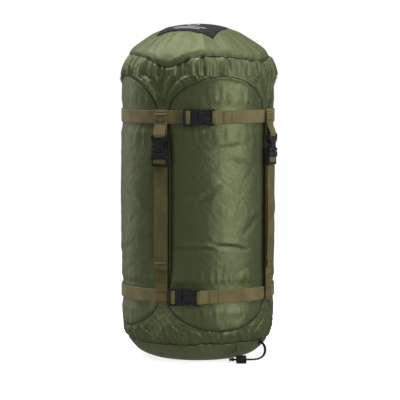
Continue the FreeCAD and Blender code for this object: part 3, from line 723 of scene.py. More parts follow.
class Shell:
    """The finished surface of the sack, on a fine grid."""

    def __init__(self):
        turns = np.arange(COLUMNS) * 360.0 / COLUMNS
        self.s_rows = np.linspace(SHELL_END, PROFILE_LENGTH - SHELL_END, ROWS)
        self.turn, self.s = np.meshgrid(turns, self.s_rows, indexing="ij")
        self.cloth = settled_cloth()
        self.snap_to_seams()
        points, self.normals = plain_surface(self.turn, self.s)
        self.points = points + self.normals * drawn_relief(self.turn, self.s)[..., None]
        if self.cloth is not None:
            self.points = self.points + from_cloth_grid(self.cloth, self.turn, self.s)
        self.points[..., 2] = np.maximum(self.points[..., 2], 0.0002)

    def seam_fields(self):
        """Signed distances to the top seam, the base seam and the four panel outlines."""
        r, z = at_distance(self.s)
        fields = [z - top_seam_height(self.turn), z - base_seam_height(self.turn)]
        return fields + [panel_distance(self.turn, r, z, t + 45) for t in STRAP_TURNS]

    def snap_to_seams(self):
        """Slides the grid's points near a seam on to it, so that the pieces meet along clean lines."""
        ds = self.s_rows[1] - self.s_rows[0]
        arc = BODY_RADIUS * math.radians(360.0 / COLUMNS)
        reach = SNAP_REACH * max(ds, arc)
        self.snapped = np.zeros(self.turn.shape, dtype=bool)
        self.fields = self.seam_fields()
        for field in self.fields:
            across = (np.roll(field, -1, 0) - np.roll(field, 1, 0)) / (2 * arc)
            up = np.gradient(field, ds, axis=1)
            steep = across ** 2 + up ** 2
            near = (np.abs(field) < reach * np.sqrt(steep)) & (steep > LEAST_STEEPNESS) & ~self.snapped
            move = np.where(near, -field / np.maximum(steep, LEAST_STEEPNESS), 0)
            self.turn = self.turn + np.degrees(move * across / BODY_RADIUS)
            self.s = self.s + move * up
            self.snapped |= near
            field[near] = 0.0
        self.fields = [np.where(kept == 0.0, 0.0, fresh)
                       for kept, fresh in zip(self.fields, self.seam_fields())]

    def triangles(self):
        index = np.arange(self.turn.size).reshape(self.turn.shape)
        right = np.roll(index, -1, axis=0)
        a, b = index[:, :-1].ravel(), right[:, :-1].ravel()
        c, d = right[:, 1:].ravel(), index[:, 1:].ravel()
        snapped = self.snapped.ravel()
        use_ac = snapped[a] & snapped[c]
        first = np.where(use_ac[:, None], np.stack([a, b, c], 1), np.stack([a, b, d], 1))
        second = np.where(use_ac[:, None], np.stack([a, c, d], 1), np.stack([b, c, d], 1))
        return np.concatenate([first, second])

    def region_of(self, triangles):
        """0 to 3 a side panel, 4 the lattice, then the base end and the top end."""
        means = [field.ravel()[triangles].mean(axis=1) for field in self.fields]
        region = np.full(len(triangles), 4)
        for k in range(4):
            region[means[2 + k] < 0] = k
        region[means[1] < 0] = BASE_REGION
        region[means[0] > 0] = TOP_REGION
        return region

    def pieces(self, looks):
        """One object per region; looks gives each region's (name, material)."""
        triangles = self.triangles()
        regions = self.region_of(triangles)
        vertices = self.points.reshape(-1, 3)
        uvs = np.stack([BODY_RADIUS * np.radians(self.turn), self.s], -1).reshape(-1, 2)
        index = np.arange(self.turn.size).reshape(self.turn.shape)
        found = []
        for region, (name, material) in enumerate(looks):
            faces = triangles[regions == region]
            used, local = np.unique(faces, return_inverse=True)
            points, piece_uvs = vertices[used], uvs[used]
            faces = local.reshape(-1, 3)
            if region in ENDS:
                row = ENDS[region]
                edge = np.searchsorted(used, index[:, row])
                ahead = np.roll(edge, -1)
                pole = np.full_like(edge, len(points))
                points = np.vstack([points, self.points[:, row].mean(axis=0)])
                piece_uvs = np.vstack([piece_uvs, [0, 0]])
                fan = [pole, ahead, edge] if row == 0 else [pole, edge, ahead]
                faces = np.vstack([faces, np.stack(fan, 1)])
            found.append(mesh_object(name, points, faces, material, uvs=piece_uvs))
        return found

    def sample(self, turn, s, lift=0.0):
        """A point on the finished surface, lifted off it, and the outward direction there."""
        column = (turn % 360.0) * COLUMNS / 360.0
        row = (s - self.s_rows[0]) / (self.s_rows[-1] - self.s_rows[0]) * (ROWS - 1)
        row = min(max(row, 0.0), ROWS - 1.001)
        c0, r0 = int(column) % COLUMNS, int(row)
        fc, fr = column - int(column), row - int(row)
        c1 = (c0 + 1) % COLUMNS
        total, normal = np.zeros(3), np.zeros(3)
        for c, r, weight in [(c0, r0, (1 - fc) * (1 - fr)), (c1, r0, fc * (1 - fr)),
                             (c0, r0 + 1, (1 - fc) * fr), (c1, r0 + 1, fc * fr)]:
            total += weight * self.points[c, r]
            normal += weight * self.normals[c, r]
        normal /= np.linalg.norm(normal)
        return Vector(total + lift * normal), Vector(normal)


# ---- swept pieces ----
def section_ring(half_width, half_height, roundness, count=12):
    """A rounded section as (across, out) points."""
    ring = []
    for k in range(count):
        angle = 2 * math.pi * (k + 0.5) / count
        cosine, sine = math.cos(angle), math.sin(angle)
        ring.append((half_width * math.copysign(abs(cosine) ** roundness, cosine),
                     half_height * math.copysign(abs(sine) ** roundness, sine)))
    return ring


def sweep(name, path, ring, material, closed=False):
    """A section swept along (point, outward) pairs, with UVs in metres along and across."""
    vertices, uvs, faces = [], [], []
    count, size = len(path), len(ring)
    travelled = 0.0
    for k, (point, out) in enumerate(path):
        ahead = path[(k + 1) % count][0] if closed or k < count - 1 else point
        behind = path[k - 1][0] if closed or k else point
        if k:
            travelled += (point - path[k - 1][0]).length
        along = (ahead - behind).normalized()
        across = along.cross(out).normalized()
        up = across.cross(along).normalized()
        for x, y in ring:
            vertices.append(point + across * x + up * y)
            uvs.append((travelled, x))
    for k in range(count if closed else count - 1):
        first, second = k * size, ((k + 1) % count) * size
        for m in range(size):
            n = (m + 1) % size
            faces.append((first + m, first + n, second + n, second + m))
    if not closed:
        faces.append(tuple(range(size))[::-1])
        faces.append(tuple(range((count - 1) * size, count * size)))
    return mesh_object(name, vertices, faces, material, uvs=uvs)


def rounded_line(points, radius, steps=4):
    """A 2-D line with its sharp corners replaced by short curves."""
    made = [points[0]]
    for before, here, after in zip(points, points[1:], points[2:]):
        before, here, after = Vector(before), Vector(here), Vector(after)
        into, away = (here - before), (after - here)
        turn = into.angle(away)
        if turn < math.radians(8):
            made.append(tuple(here))
            continue
        reach = min(radius * math.tan(turn / 2) + radius * 0.3, into.length * 0.45, away.length * 0.45)
        start, end = here - into.normalized() * reach, here + away.normalized() * reach
        for k in range(steps + 1):
            t = k / steps
            made.append(tuple(start * (1 - t) ** 2 + here * 2 * t * (1 - t) + end * t * t))
    made.append(points[-1])
    return made


def subdivided(points, longest):
    """The line with points added, so that no run is longer than this."""
    made = [points[0]]
    for a, b in zip(points, points[1:]):
        pieces = max(1, math.ceil((Vector(b) - Vector(a)).length / longest))
        made += [tuple(Vector(a).lerp(Vector(b), (k + 1) / pieces)) for k in range(pieces)]
    return made


WEB_RING = section_ring(WEB_WIDTH / 2, WEB / 2, 0.35, 16)


def web_strip(name, line, seat, material, corner=0.0012, wander=0.0):
    """Webbing whose middle follows a line of (along, out) distances in a seat's own axes.

    A seat is (origin, along, out). The strip may wander sideways by this much."""
    origin, along, out = seat
    points = subdivided(rounded_line(line, corner), 0.004)
    across = along.cross(out)
    path = []
    for k, (a, b) in enumerate(points):
        behind, ahead = points[max(k - 1, 0)], points[min(k + 1, len(points) - 1)]
        da, db = ahead[0] - behind[0], ahead[1] - behind[1]
        sway = wander * noise.noise(Vector((a * 30, b * 30, origin.x * 10)))
        place = origin + along * a + out * b + across * sway
        path.append((place, (out * da - along * db).normalized()))
    return sweep(name, path, WEB_RING, MATERIALS[material])


def tube_along(name, path, radius, material, closed=False, sides=7):
    return sweep(name, path, section_ring(radius, radius, 1.0, sides), material, closed)


def joined(name, pieces):
    """One object from several that share a material."""
    bpy.ops.object.select_all(action="DESELECT")
    for piece in pieces:
        piece.select_set(True)
    bpy.context.view_layer.objects.active = pieces[0]
    bpy.ops.object.join()
    pieces[0].name = name
    return pieces[0]


def capsules(name, ends, radius, material, sides=4):
    """Many short stitches in one mesh, from (start, end) pairs."""
    vertices, faces = [], []
    for start, end in ends:
        along = (end - start)
        length = along.length
        if length < 1e-6:
            continue
        along = along / length
        side = along.orthogonal().normalized()
        up = along.cross(side)
        base = len(vertices)
        for share, size in ((0.0, 0.35), (0.18, 1.0), (0.82, 1.0), (1.0, 0.35)):
            centre = start + along * (length * share)
            for k in range(sides):
                angle = 2 * math.pi * k / sides
                vertices.append(centre + (side * math.cos(angle) + up * math.sin(angle)) * radius * size)
        for ring in range(3):
            for k in range(sides):
                n = (k + 1) % sides
                a, b = base + ring * sides, base + (ring + 1) * sides
                faces.append((a + k, a + n, b + n, b + k))
        faces.append(tuple(range(base, base + sides))[::-1])
        faces.append(tuple(range(base + 3 * sides, base + 4 * sides)))
    return mesh_object(name, vertices, faces, material)


def on_body(body):
    """A way to move: with one body."""
    return lambda piece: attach(piece, body)


def over_compression(piece):
    """A way to move: bakes the piece's transform into its mesh."""
    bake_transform(piece)


ON_SACK, ON_TOP = on_body("sack"), on_body("top_end")


def declare(piece, slot, move, *replaced):
    """Gives a piece its way to move and hides the CAD nodes that it stands for. The slot, its finish, is not
    used.
    """
    move(piece)
    if replaced:
        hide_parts(*replaced)


# ---- the sack ----
shell = Shell()
REGIONS = [(f"side_panel_cloth_{k}", MATERIALS["panel"]) for k in range(1, 5)]
REGIONS += [("lattice_cloth", MATERIALS["lattice"]), ("base_end_cloth", MATERIALS["base"]),
            ("top_end_cloth", MATERIALS["dome"])]


def place_shell():
    cloths = shell.pieces(REGIONS)
    lattice, base, top = cloths[4:]
    for k, cloth in enumerate(cloths[:4], 1):
        declare(cloth, "panel_fabric", over_compression, f"side_panel_{k}")
    declare(lattice, "lattice_fabric", over_compression, "lattice_fabric", "packed_load")
    declare(base, "lattice_fabric", ON_SACK, "base_end_panel")
    declare(top, "panel_fabric", ON_TOP, "top_end_panel")


def panel_outline(centre, inset):
    """(turn, distance) points round a panel, this far inside its outline."""
    half = PANEL_HALF_WIDTH - inset
    low, high = PANEL_LOW_Z + PANEL_ARCH_LOW, PANEL_HIGH_Z - PANEL_ARCH_HIGH
    outline = []
    for side, start, end, rise in ((1, high, low, PANEL_ARCH_HIGH - inset),
                                   (-1, low, high, PANEL_ARCH_LOW - inset)):
        outline += [(side * half * math.cos(a), start + side * rise * math.sin(a))
                    for a in np.linspace(0, math.pi, 70)]
        outline += [(-side * half, z) for z in np.linspace(start, end, 60)[1:-1]]
    route = []
    for x, z in outline:
        s = distance_at_height(z)
        r = at_distance(s)[0]
        route.append((centre + math.degrees(math.asin(max(-1, min(1, x / r)))), s))
    return route


def ring_route(height_of, offset, count=330):
    """(turn, distance) points round the sack along a seam, this far up from it."""
    turns = [360.0 * k / count for k in range(count)]
    return [(turn, float(distance_at_height(height_of(turn))) + offset) for turn in turns]


def seam_shade_line(name, route, move):
    """A dark line along a seam: painted shade that stands for the shadow in the groove where the cloth turns
    in.
    """
    path = [shell.sample(turn, s, lift=0.0003) for turn, s in route]
    edge = sweep(name, path, section_ring(0.0008, 0.0005, 0.8, 8), MATERIALS["seam_shadow"], closed=True)
    declare(edge, "lattice_fabric", move)


STITCH_PITCH, STITCH_LENGTH, STITCH_RADIUS = 0.0034, 0.0023, 0.00028


def stitch_row(name, route, move):
    """Stitches of one length at an even spacing along a closed route."""
    path = [shell.sample(turn, s, lift=0.00015)[0] for turn, s in route]
    path = np.array([tuple(point) for point in path + path[:1]])
    runs = np.linalg.norm(np.diff(path, axis=0), axis=1)
    travelled = np.concatenate([[0.0], np.cumsum(runs)])
    starts = np.arange(0.0, travelled[-1] - STITCH_LENGTH, STITCH_PITCH)
    begin, end = ([np.interp(place, travelled, path[:, axis]) for axis in range(3)]
                  for place in (starts, starts + STITCH_LENGTH))
    ends = [(Vector(a), Vector(b)) for a, b in zip(zip(*begin), zip(*end))]
    declare(capsules(name, ends, STITCH_RADIUS, MATERIALS["seam_thread"]), "lattice_fabric", move)


def place_seams():
    for name, height_of, inset, move in [("top_seam", top_seam_height, 0.0032, ON_TOP),
                                         ("base_seam", base_seam_height, -0.0030, ON_SACK)]:
        seam_shade_line(name, ring_route(height_of, 0.0), move)
        stitch_row(f"{name}_stitches", ring_route(height_of, inset), move)
    for k, turn in enumerate(STRAP_TURNS, 1):
        seam_shade_line(f"panel_seam_{k}", panel_outline(turn + 45, 0.0), over_compression)
        stitch_row(f"panel_stitches_{k}", panel_outline(turn + 45, 0.0030), over_compression)


# ---- the belts; distances along a buckle run from its plug's end to its socket's ----
GRIP_NEAR, GRIP_FAR, GRIP_OUT = 0.0043, 0.01075, 0.00585     # the plug's grip bar
TUCK_OUT = 0.0003                                            # webbing pushed down behind that bar
SLOT_ALONG, BAR_OUT, BAR_END = 0.0436, 0.0061, 0.0487        # the socket's slot and bar
BELT_END, BELT_START = 0.0115, 0.054                         # under the plug, and by the socket
FOLD_START, FOLD_END = 0.0570, 0.076                         # the layer that is sewn back on the belt
FOLD_GAP, LAYER_GAP = 0.0003, 0.0001                         # between layers on a belt and on a strap
BELT_TAIL_SWEEP = 62.0


def ring_line(lift, first_turn, last_turn, step=2.5):
    """A belt's arc as (along, out) distances about the sack's axis, from one turn to another."""
    radius = BODY_RADIUS + lift + WEB / 2
    count = max(2, math.ceil(abs(last_turn - first_turn) / step) + 1)
    angles = [math.radians(first_turn + (last_turn - first_turn) * k / (count - 1)) for k in range(count)]
    return [(radius * math.sin(a), radius * math.cos(a)) for a in angles]


def belt_seat(where):
    """A belt's own axes: its centre, and its buckle's along and outward directions."""
    turn = BUCKLE_TURNS[where]
    return Vector((0, 0, BELT_HEIGHTS[where])), rightward(turn), outward(turn)


def belt_split(where):
    """Where a belt's two lengths meet under a strap, in degrees from its buckle."""
    return STRAP_TURNS[1] - BUCKLE_TURNS[where]


def buckle_to_axis(along, out):
    """A belt buckle's own (along, out) distances as distances about the sack's axis."""
    return (along - BUCKLE_LENGTH / 2, BODY_RADIUS + BELT_BUCKLE_LIFT + out)


def angle_at(along):
    """Degrees from the middle of a belt buckle to a distance along it."""
    return math.degrees(math.asin((along - BUCKLE_LENGTH / 2) / BODY_RADIUS))


def layer_out(along, lift):
    """How far out from a belt buckle's underside the middle of a layer lies."""
    radius = BODY_RADIUS + lift + WEB / 2
    return math.sqrt(radius ** 2 - (along - BUCKLE_LENGTH / 2) ** 2) - BODY_RADIUS - BELT_BUCKLE_LIFT


def place_belt_run(where):
    """The belt from its split round the back to the plug."""
    line = ring_line(BELT_LIFT, belt_split(where), angle_at(BELT_END) + 360)
    belt = web_strip(f"{where}_belt_web", line, belt_seat(where), "lit_belt_webbing")
    declare(belt, "webbing", on_body(BELT_BODIES[where]), f"{where}_belt")


def place_belt_fold(where):
    """The belt's end, round the socket's bar and sewn back on itself."""
    origin, along, out = seat = belt_seat(where)
    line = ring_line(BELT_LIFT, belt_split(where), angle_at(BELT_START))
    line += [buckle_to_axis(SLOT_ALONG, layer_out(SLOT_ALONG, BELT_LIFT)),
             buckle_to_axis(SLOT_ALONG, BAR_OUT), buckle_to_axis(BAR_END, BAR_OUT)]
    line += ring_line(BELT_LIFT + WEB + FOLD_GAP, angle_at(FOLD_START), angle_at(FOLD_END))
    fold = web_strip(f"{where}_belt_sewn_end", line, seat, "lit_belt_webbing")
    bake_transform(fold)
    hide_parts(f"{where}_belt_fold")


def place_belt_tail(where):
    """The belt's free tail, which lies over the belt and goes in through the plug's ladder."""
    grip = angle_at(GRIP_NEAR)
    line = ring_line(BELT_TAIL_LIFT, grip - BELT_TAIL_SWEEP, grip)[:-1]
    line += [buckle_to_axis(GRIP_NEAR, layer_out(GRIP_NEAR, BELT_TAIL_LIFT)),
             buckle_to_axis(GRIP_NEAR, GRIP_OUT), buckle_to_axis(GRIP_FAR, GRIP_OUT),
             buckle_to_axis(GRIP_FAR, TUCK_OUT)]
    tail = web_strip(f"{where}_belt_free_tail", line, belt_seat(where), "lit_belt_webbing")
    declare(tail, "webbing", on_body(BELT_BODIES[where]), f"{where}_belt_tail")


# ---- the upright straps ----
STRAP_MIDDLE = STRAP_LIFT + WEB / 2
PULL_STRAP_REACH = 0.0114      # it ends this far up under the plug
TAIL_OUT = 0.00085             # the hanging tail's middle, from the buckle's underside
HEM = 0.012


def strap_seat(turn):
    """A strap's own axes: an origin on the wall at the floor's height, up, and outward."""
    return outward(turn) * BODY_RADIUS, Vector((0, 0, 1)), outward(turn)


def place_pull_strap(k, turn):
    """From its foot over the lower belt up to the plug."""
    line = [(PULL_STRAP_FOOT_Z, STRAP_MIDDLE), (UPRIGHT_BUCKLE_Z + PULL_STRAP_REACH, STRAP_MIDDLE)]
    pull = web_strip(f"pull_strap_web_{k}", line, strap_seat(turn), "shaded_strap_webbing")
    declare(pull, "webbing", over_compression, f"pull_strap_{k}")


def place_anchor_strap(k, turn):
    """From the upper belt down to the socket's bar, round it, and back up over the belt."""
    belt_top, over = UPPER_BELT_Z + WEB_WIDTH / 2, STRAP_MIDDLE + WEB + LAYER_GAP
    bar, bar_out = UPRIGHT_BUCKLE_Z + SLOT_ALONG, UPRIGHT_BUCKLE_LIFT + BAR_OUT
    line = [(belt_top + 0.001, STRAP_MIDDLE), (bar, STRAP_MIDDLE), (bar, bar_out), (bar + 0.005, bar_out),
            (bar + 0.019, over), (belt_top - 0.004, over)]
    anchor = web_strip(f"anchor_strap_web_{k}", line, strap_seat(turn), "shaded_strap_webbing")
    declare(anchor, "webbing", ON_TOP, f"anchor_strap_{k}")


def place_strap_tail(k, turn):
    """Over the grip bar, out of the ladder and hanging free, with a slight bow and a sewn hem."""
    origin, up, out = strap_seat(turn)
    base = origin + out * UPRIGHT_BUCKLE_LIFT + up * UPRIGHT_BUCKLE_Z
    end = TAIL_END_Z - UPRIGHT_BUCKLE_Z
    fold = end + 0.0004
    bow = 0.0010 + (0.0006 * k) % 0.0011
    line = [(end + HEM, TAIL_OUT + WEB + LAYER_GAP), (fold, TAIL_OUT + WEB), (fold, TAIL_OUT)]
    line += [(end * t, TAIL_OUT + bow * math.sin(math.pi * t)) for t in (0.85, 0.7, 0.5, 0.3, 0.15)]
    line += [(GRIP_NEAR, TAIL_OUT), (GRIP_NEAR, GRIP_OUT), (GRIP_FAR, GRIP_OUT), (GRIP_FAR, TUCK_OUT)]
    tail = web_strip(f"strap_tail_web_{k}", line, (base, up, out), "shaded_strap_webbing", corner=0.0009,
                     wander=0.0016)
    declare(tail, "webbing", on_body(f"strap_plug_{k}"), f"strap_tail_{k}")


# ---- bar tacks ----
TACK_WIDTH, TACK_DEPTH, HEM_TACK_DEPTH = 0.0175, 0.0016, 0.0013
TACK_PITCH, TACK_THREAD = 0.0007, 0.00026
PULL_TACKS = [("foot", 0.0975, ON_SACK), ("belt", 0.112, ON_SACK), ("low", 0.127, over_compression),
              ("mid", 0.1315, over_compression)]
ANCHOR_TACKS = [("low", UPPER_BELT_Z - 0.006), ("high", UPPER_BELT_Z + 0.003)]
BELT_TACKS = [("near", 0.0605), ("far", 0.0725)]


def bar_tack(name, centre, along, out, move, depth=TACK_DEPTH):
    """A dense zigzag of thread across the webbing, this deep in the direction along it."""
    across = along.cross(out)
    count = int(TACK_WIDTH / TACK_PITCH)
    points = []
    for k in range(count + 1):
        side = 1 if k % 2 else -1
        points.append(centre + across * (TACK_WIDTH * (k / count - 0.5)) + along * (side * depth / 2)
                      + out * 0.0002)
    tack = capsules(name, list(zip(points, points[1:])), TACK_THREAD, MATERIALS["web_thread"])
    declare(tack, "webbing", move)


def place_strap_tacks(k, turn):
    up, out = Vector((0, 0, 1)), outward(turn)
    face = out * (BODY_RADIUS + STRAP_LIFT + WEB)
    for name, height, move in PULL_TACKS:
        bar_tack(f"pull_tack_{name}_{k}", face + up * height, up, out, move)
    upper = out * (BODY_RADIUS + STRAP_LIFT + 2 * WEB + LAYER_GAP)
    for name, height in ANCHOR_TACKS:
        bar_tack(f"anchor_tack_{name}_{k}", upper + up * height, up, out, ON_TOP)
    hem = out * (BODY_RADIUS + UPRIGHT_BUCKLE_LIFT + TAIL_OUT + 1.5 * WEB + LAYER_GAP)
    bar_tack(f"hem_tack_{k}", hem + up * (TAIL_END_Z + 0.0095), up, out, on_body(f"strap_plug_{k}"),
             HEM_TACK_DEPTH)


def place_belt_tacks(where):
    centre = Vector((0, 0, BELT_HEIGHTS[where]))
    radius = BODY_RADIUS + BELT_LIFT + 2 * WEB + FOLD_GAP
    for name, along in BELT_TACKS:
        spot = BUCKLE_TURNS[where] + angle_at(along)
        out = outward(spot)
        bar_tack(f"{where}_belt_tack_{name}", out * radius + centre, rightward(spot), out,
                 on_body(f"{where}_belt_socket_body"))


# ---- the label ----
LABEL_COLUMNS, LABEL_ROWS = 48, 34
LABEL_FACE, LABEL_BACK, MARK_LIFT, BORDER_LIFT = 0.0011, 0.0001, 0.0013, 0.0012     # off the dome
MARK_RADIUS, MARK_RING_Y = 0.0085, 0.004
MARK_STRIPES = [(-0.015, 0.027), (-0.022, 0.020)]       # place across the label, half length
BORDER_INSET, BORDER_PITCH, BORDER_STITCH = 0.0022, 0.0032, 0.7


def label_spot(x, y, lift):
    """A point over the dome from the label's own flat coordinates, and the outward direction there."""
    angle = math.radians(LABEL_TURN)
    px = LABEL_X + x * math.cos(angle) - y * math.sin(angle)
    py = LABEL_Y + x * math.sin(angle) + y * math.cos(angle)
    turn = math.degrees(math.atan2(px, -py))
    return shell.sample(turn, float(distance_at_dome_radius(math.hypot(px, py))), lift)


def label_rim(x, y):
    """The turned edge: a low ridge just inside the border, and a border that falls away."""
    edge = min(LABEL_WIDTH / 2 - abs(x), LABEL_DEPTH / 2 - abs(y))
    ridge = math.exp(-((edge - 0.0030) / 0.0008) ** 2)
    return 0.0003 * (ridge - math.exp(-(edge / 0.0006) ** 2))


def label_faces():
    """Quads of the face, the back and the rim between them."""
    stride = LABEL_ROWS + 1
    back = (LABEL_COLUMNS + 1) * stride
    faces = []
    for i in range(LABEL_COLUMNS):
        for j in range(LABEL_ROWS):
            a = i * stride + j
            faces.append((a, a + stride, a + stride + 1, a + 1))
            faces.append((back + a, back + a + 1, back + a + stride + 1, back + a + stride))
    rim = [i * stride for i in range(LABEL_COLUMNS + 1)]
    rim += [LABEL_COLUMNS * stride + j for j in range(1, stride)]
    rim += [i * stride + LABEL_ROWS for i in range(LABEL_COLUMNS - 1, -1, -1)]
    rim += list(range(LABEL_ROWS - 1, 0, -1))
    for a, b in zip(rim, rim[1:] + rim[:1]):
        faces.append((a, back + a, back + b, b))
    return faces


def place_label_cloth():
    spots = [(LABEL_WIDTH * (i / LABEL_COLUMNS - 0.5), LABEL_DEPTH * (j / LABEL_ROWS - 0.5))
             for i in range(LABEL_COLUMNS + 1) for j in range(LABEL_ROWS + 1)]
    vertices = [label_spot(x, y, LABEL_FACE + label_rim(x, y))[0] for x, y in spots]
    vertices += [label_spot(x, y, LABEL_BACK)[0] for x, y in spots]
    label = mesh_object("label_cloth", vertices, label_faces(), MATERIALS["label"], uvs=spots + spots)
    declare(label, "label_fabric", ON_TOP, "label_patch")


def place_label_mark():
    """A plain woven mark: a ring over two stripes."""
    lines = [[label_spot(MARK_RADIUS * math.cos(a), MARK_RING_Y + MARK_RADIUS * math.sin(a), MARK_LIFT)
              for a in np.linspace(0, 2 * math.pi, 41)]]
    lines += [[label_spot(half * (2 * t - 1), y, MARK_LIFT) for t in np.linspace(0, 1, 28)]
              for y, half in MARK_STRIPES]
    flat_ring = section_ring(0.0013, 0.00022, 0.5, 8)
    strokes = [sweep("stroke", path, flat_ring, MATERIALS["label_thread"]) for path in lines]
    declare(joined("label_mark", strokes), "label_fabric", ON_TOP)


def place_label_border():
    """The stitches that hold the label, just inside its edge."""
    x, y = LABEL_WIDTH / 2 - BORDER_INSET, LABEL_DEPTH / 2 - BORDER_INSET
    corners = [Vector(corner) for corner in ((-x, -y), (x, -y), (x, y), (-x, y), (-x, -y))]
    ends = []
    for a, b in zip(corners, corners[1:]):
        count = int((b - a).length / BORDER_PITCH)
        for k in range(count):
            ends.append([label_spot(*a.lerp(b, (k + share) / count), BORDER_LIFT)[0]
                         for share in (0, BORDER_STITCH)])
    border = capsules("label_stitches", ends, 0.0003, MATERIALS["seam_thread"])
    declare(border, "label_fabric", ON_TOP)


# ---- the drawstring: its routes' points are in millimetres, from the eyelet to the knot ----
BACK_STRAND = [(95.0, -49.4, 27.9), (100.1, -52.2, 24.2), (102.9, -57.6, 17.0), (101.2, -66.2, 9.2),
               (94.2, -76.2, 5.2), (85.6, -82.7, 4.8), (76.0, -84.5, 5.0), (65.0, -84.6, 4.9),
               (55.0, -84.5, 5.0)]
FRONT_STRAND = [(95.0, -51.8, 29.7), (100.6, -54.9, 26.1), (104.4, -61.0, 19.2), (103.2, -70.4, 11.3),
                (96.2, -80.6, 6.0), (86.6, -86.4, 5.1), (76.0, -87.4, 5.0), (65.0, -87.5, 4.9),
                (55.0, -87.4, 5.0)]
KNOT_CENTRE, KNOT_SIZE, KNOT_THICKNESS = (0.0508, -0.0860, 0.0051), 0.00145, 0.00122
LOCK_X, LOCK_Y, LOCK_Z = 0.066, -0.086, 0.005
SPRING_TURNS, SPRING_RADIUS, SPRING_WIRE = 3, 0.0021, 0.0003
SPRING_BACK, SPRING_FRONT, LOCK_BACK = 0.01025, 0.00705, 0.0106     # along the lock, from LOCK_Y


def strand(name, route):
    """One strand of cord along its route."""
    data = bpy.data.curves.new(name + "_line", "CURVE")
    data.dimensions = "3D"
    data.bevel_depth = CORD_DIAMETER / 2
    data.bevel_resolution = 5
    data.resolution_u = 12
    spline = data.splines.new("NURBS")
    spline.points.add(len(route) - 1)
    for point, (x, y, z) in zip(spline.points, route):
        point.co = (x * MM, y * MM, z * MM, 1)
    spline.order_u = 3
    spline.use_endpoint_u = True
    data.materials.append(MATERIALS["cord"])
    cord = bpy.data.objects.new(name + "_cord", data)
    bpy.context.scene.collection.objects.link(cord)
    declare(cord, "cord", ON_SACK, name)
    return cord


def place_knot():
    """The knot that ties the two strands: a tight trefoil round their ends."""
    path = []
    for t in np.linspace(0, 2 * math.pi, 72, endpoint=False):
        point = Vector(((math.cos(t) + 2 * math.cos(2 * t)) * KNOT_SIZE * 0.8,
                        (math.sin(t) - 2 * math.sin(2 * t)) * KNOT_SIZE, -math.sin(3 * t) * KNOT_SIZE * 0.9))
        path.append((Vector(KNOT_CENTRE) + point, point.normalized()))
    knot = tube_along("drawstring_tie", path, KNOT_THICKNESS, MATERIALS["cord"], closed=True, sides=10)
    declare(knot, "cord", ON_SACK, "drawstring_knot")
    return knot


def place_spring():
    """The coil behind the cord lock's plunger."""
    path = []
    for t in np.linspace(0, 1, SPRING_TURNS * 20 + 1):
        angle = 2 * math.pi * SPRING_TURNS * t
        radial = Vector((math.cos(angle), 0, math.sin(angle)))
        along = LOCK_Y + SPRING_BACK + (SPRING_FRONT - SPRING_BACK) * t
        path.append((Vector((LOCK_X, along, LOCK_Z)) + radial * SPRING_RADIUS, radial))
    coil = tube_along("lock_spring_coil", path, SPRING_WIRE, MATERIALS["steel"], sides=8)
    declare(coil, "spring_steel", ON_SACK, "cord_lock_spring")
    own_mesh(coil)
    return coil


def place_drawstring():
    nodes = frame["nodes"]
    ends = [nodes["drawstring_eyelet"], place_knot()]
    lock = [place_spring(), nodes["cord_lock_body"], nodes["cord_lock_plunger"]]
    for name, route, company in (("drawstring_back", BACK_STRAND, ends + lock),
                                 ("drawstring_front", FRONT_STRAND, ends)):
        cord = strand(name, route)


# ---- the buckles and the lock keep their CAD shapes ----
def dress_cad_pieces():
    looks = {"buckle_plastic": "buckle", "cord_lock_plastic": "lock", "cord_collar": "seam_thread"}
    slots = {part["node"]: part["material_slot"] for part in frame["record"]["subparts"]}
    for name, obj in frame["nodes"].items():
        look = looks.get(slots.get(name))
        if look is None or obj.hide_render:
            continue
        obj.data.materials.clear()
        obj.data.materials.append(MATERIALS[look])
        if look in ("buckle", "lock"):
            edge = obj.modifiers.new("worn_edge", "BEVEL")
            edge.width, edge.segments = 0.00022, 2
            edge.limit_method, edge.angle_limit = "ANGLE", math.radians(50)


# ---- the studio ----
def area_light(name, turn, height, distance, size, power, aim=0.26, spread=180):
    """A soft box at a turn round the sack, aimed at a height on its axis."""
    data = bpy.data.lights.new(name, "AREA")
    data.shape = "RECTANGLE"
    data.size, data.size_y = size
    data.energy = power
    data.spread = math.radians(spread)
    obj = bpy.data.objects.new(name, data)
    obj.location = outward(turn) * distance + Vector((0, 0, height))
    obj.rotation_euler = (Vector((0, 0, aim)) - obj.location).to_track_quat("-Z", "Y").to_euler()
    bpy.context.scene.collection.objects.link(obj)


AMBIENT = 0.21        # light from all round, beside what the camera sees as a white backdrop
FLOOR_RADIUS = 2.0


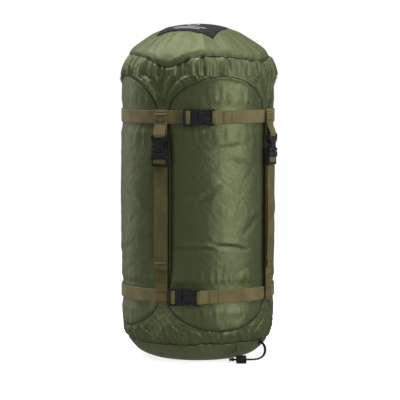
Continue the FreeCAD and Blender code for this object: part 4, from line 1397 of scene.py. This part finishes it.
def set_studio():
    scene = bpy.context.scene
    scene.view_settings.view_transform = "Standard"
    scene.view_settings.look = "None"
    world = bpy.data.worlds.new("studio")
    world.use_nodes = True
    background = world.node_tree.nodes["Background"]
    background.inputs["Color"].default_value = (1, 1, 1, 1)
    seen = node(world.node_tree, "ShaderNodeLightPath")
    world.node_tree.links.new(maths(world.node_tree, "MAXIMUM", seen.outputs["Is Camera Ray"], AMBIENT),
                              background.inputs["Strength"])
    scene.world = world
    area_light("key", 50, 0.40, 1.7, (0.28, 1.5), 12)
    area_light("low", -50, 0.04, 1.6, (1.6, 0.10), 0.22, aim=-0.03, spread=15)
    area_light("side", -122, 0.45, 1.6, (0.5, 1.5), 2.5)
    area_light("left_shoulder", -105, 1.5, 1.1, (0.8, 0.8), 7)
    area_light("right_shoulder", 95, 1.5, 1.1, (0.8, 0.8), 5)
    area_light("top", -70, 2.1, 0.25, (1.3, 1.3), 20)
    rim = [(FLOOR_RADIUS * math.cos(a), FLOOR_RADIUS * math.sin(a), 0)
           for a in np.linspace(0, 2 * math.pi, 96, endpoint=False)]
    floor = mesh_object("studio_floor", rim, [tuple(range(len(rim)))], floor_material(), smooth=False)
    floor.visible_diffuse = floor.visible_glossy = False


def set_camera():
    """A long lens, a little above the middle of the sack."""
    distance, elevation, view_width = 3.0, 4.5, 0.624
    target = Vector((0.0031, 0, 0.2423))
    angle = math.radians(elevation)
    data = bpy.data.cameras.new("camera")
    data.sensor_width = 36
    data.lens = 36 * distance / view_width
    camera = bpy.data.objects.new("camera", data)
    camera.location = target + Vector((0, -math.cos(angle), math.sin(angle))) * distance
    camera.rotation_euler = (target - camera.location).to_track_quat("-Z", "Y").to_euler()
    bpy.context.scene.collection.objects.link(camera)
    bpy.context.scene.camera = camera


place_shell()
place_seams()
for belt_name in BUCKLE_TURNS:
    place_belt_run(belt_name)
    place_belt_fold(belt_name)
    place_belt_tail(belt_name)
    place_belt_tacks(belt_name)
for number, strap_turn in enumerate(STRAP_TURNS, 1):
    place_pull_strap(number, strap_turn)
    place_anchor_strap(number, strap_turn)
    place_strap_tail(number, strap_turn)
    place_strap_tacks(number, strap_turn)
place_label_cloth()
place_label_mark()
place_label_border()
place_drawstring()
dress_cad_pieces()
set_studio()
set_camera()
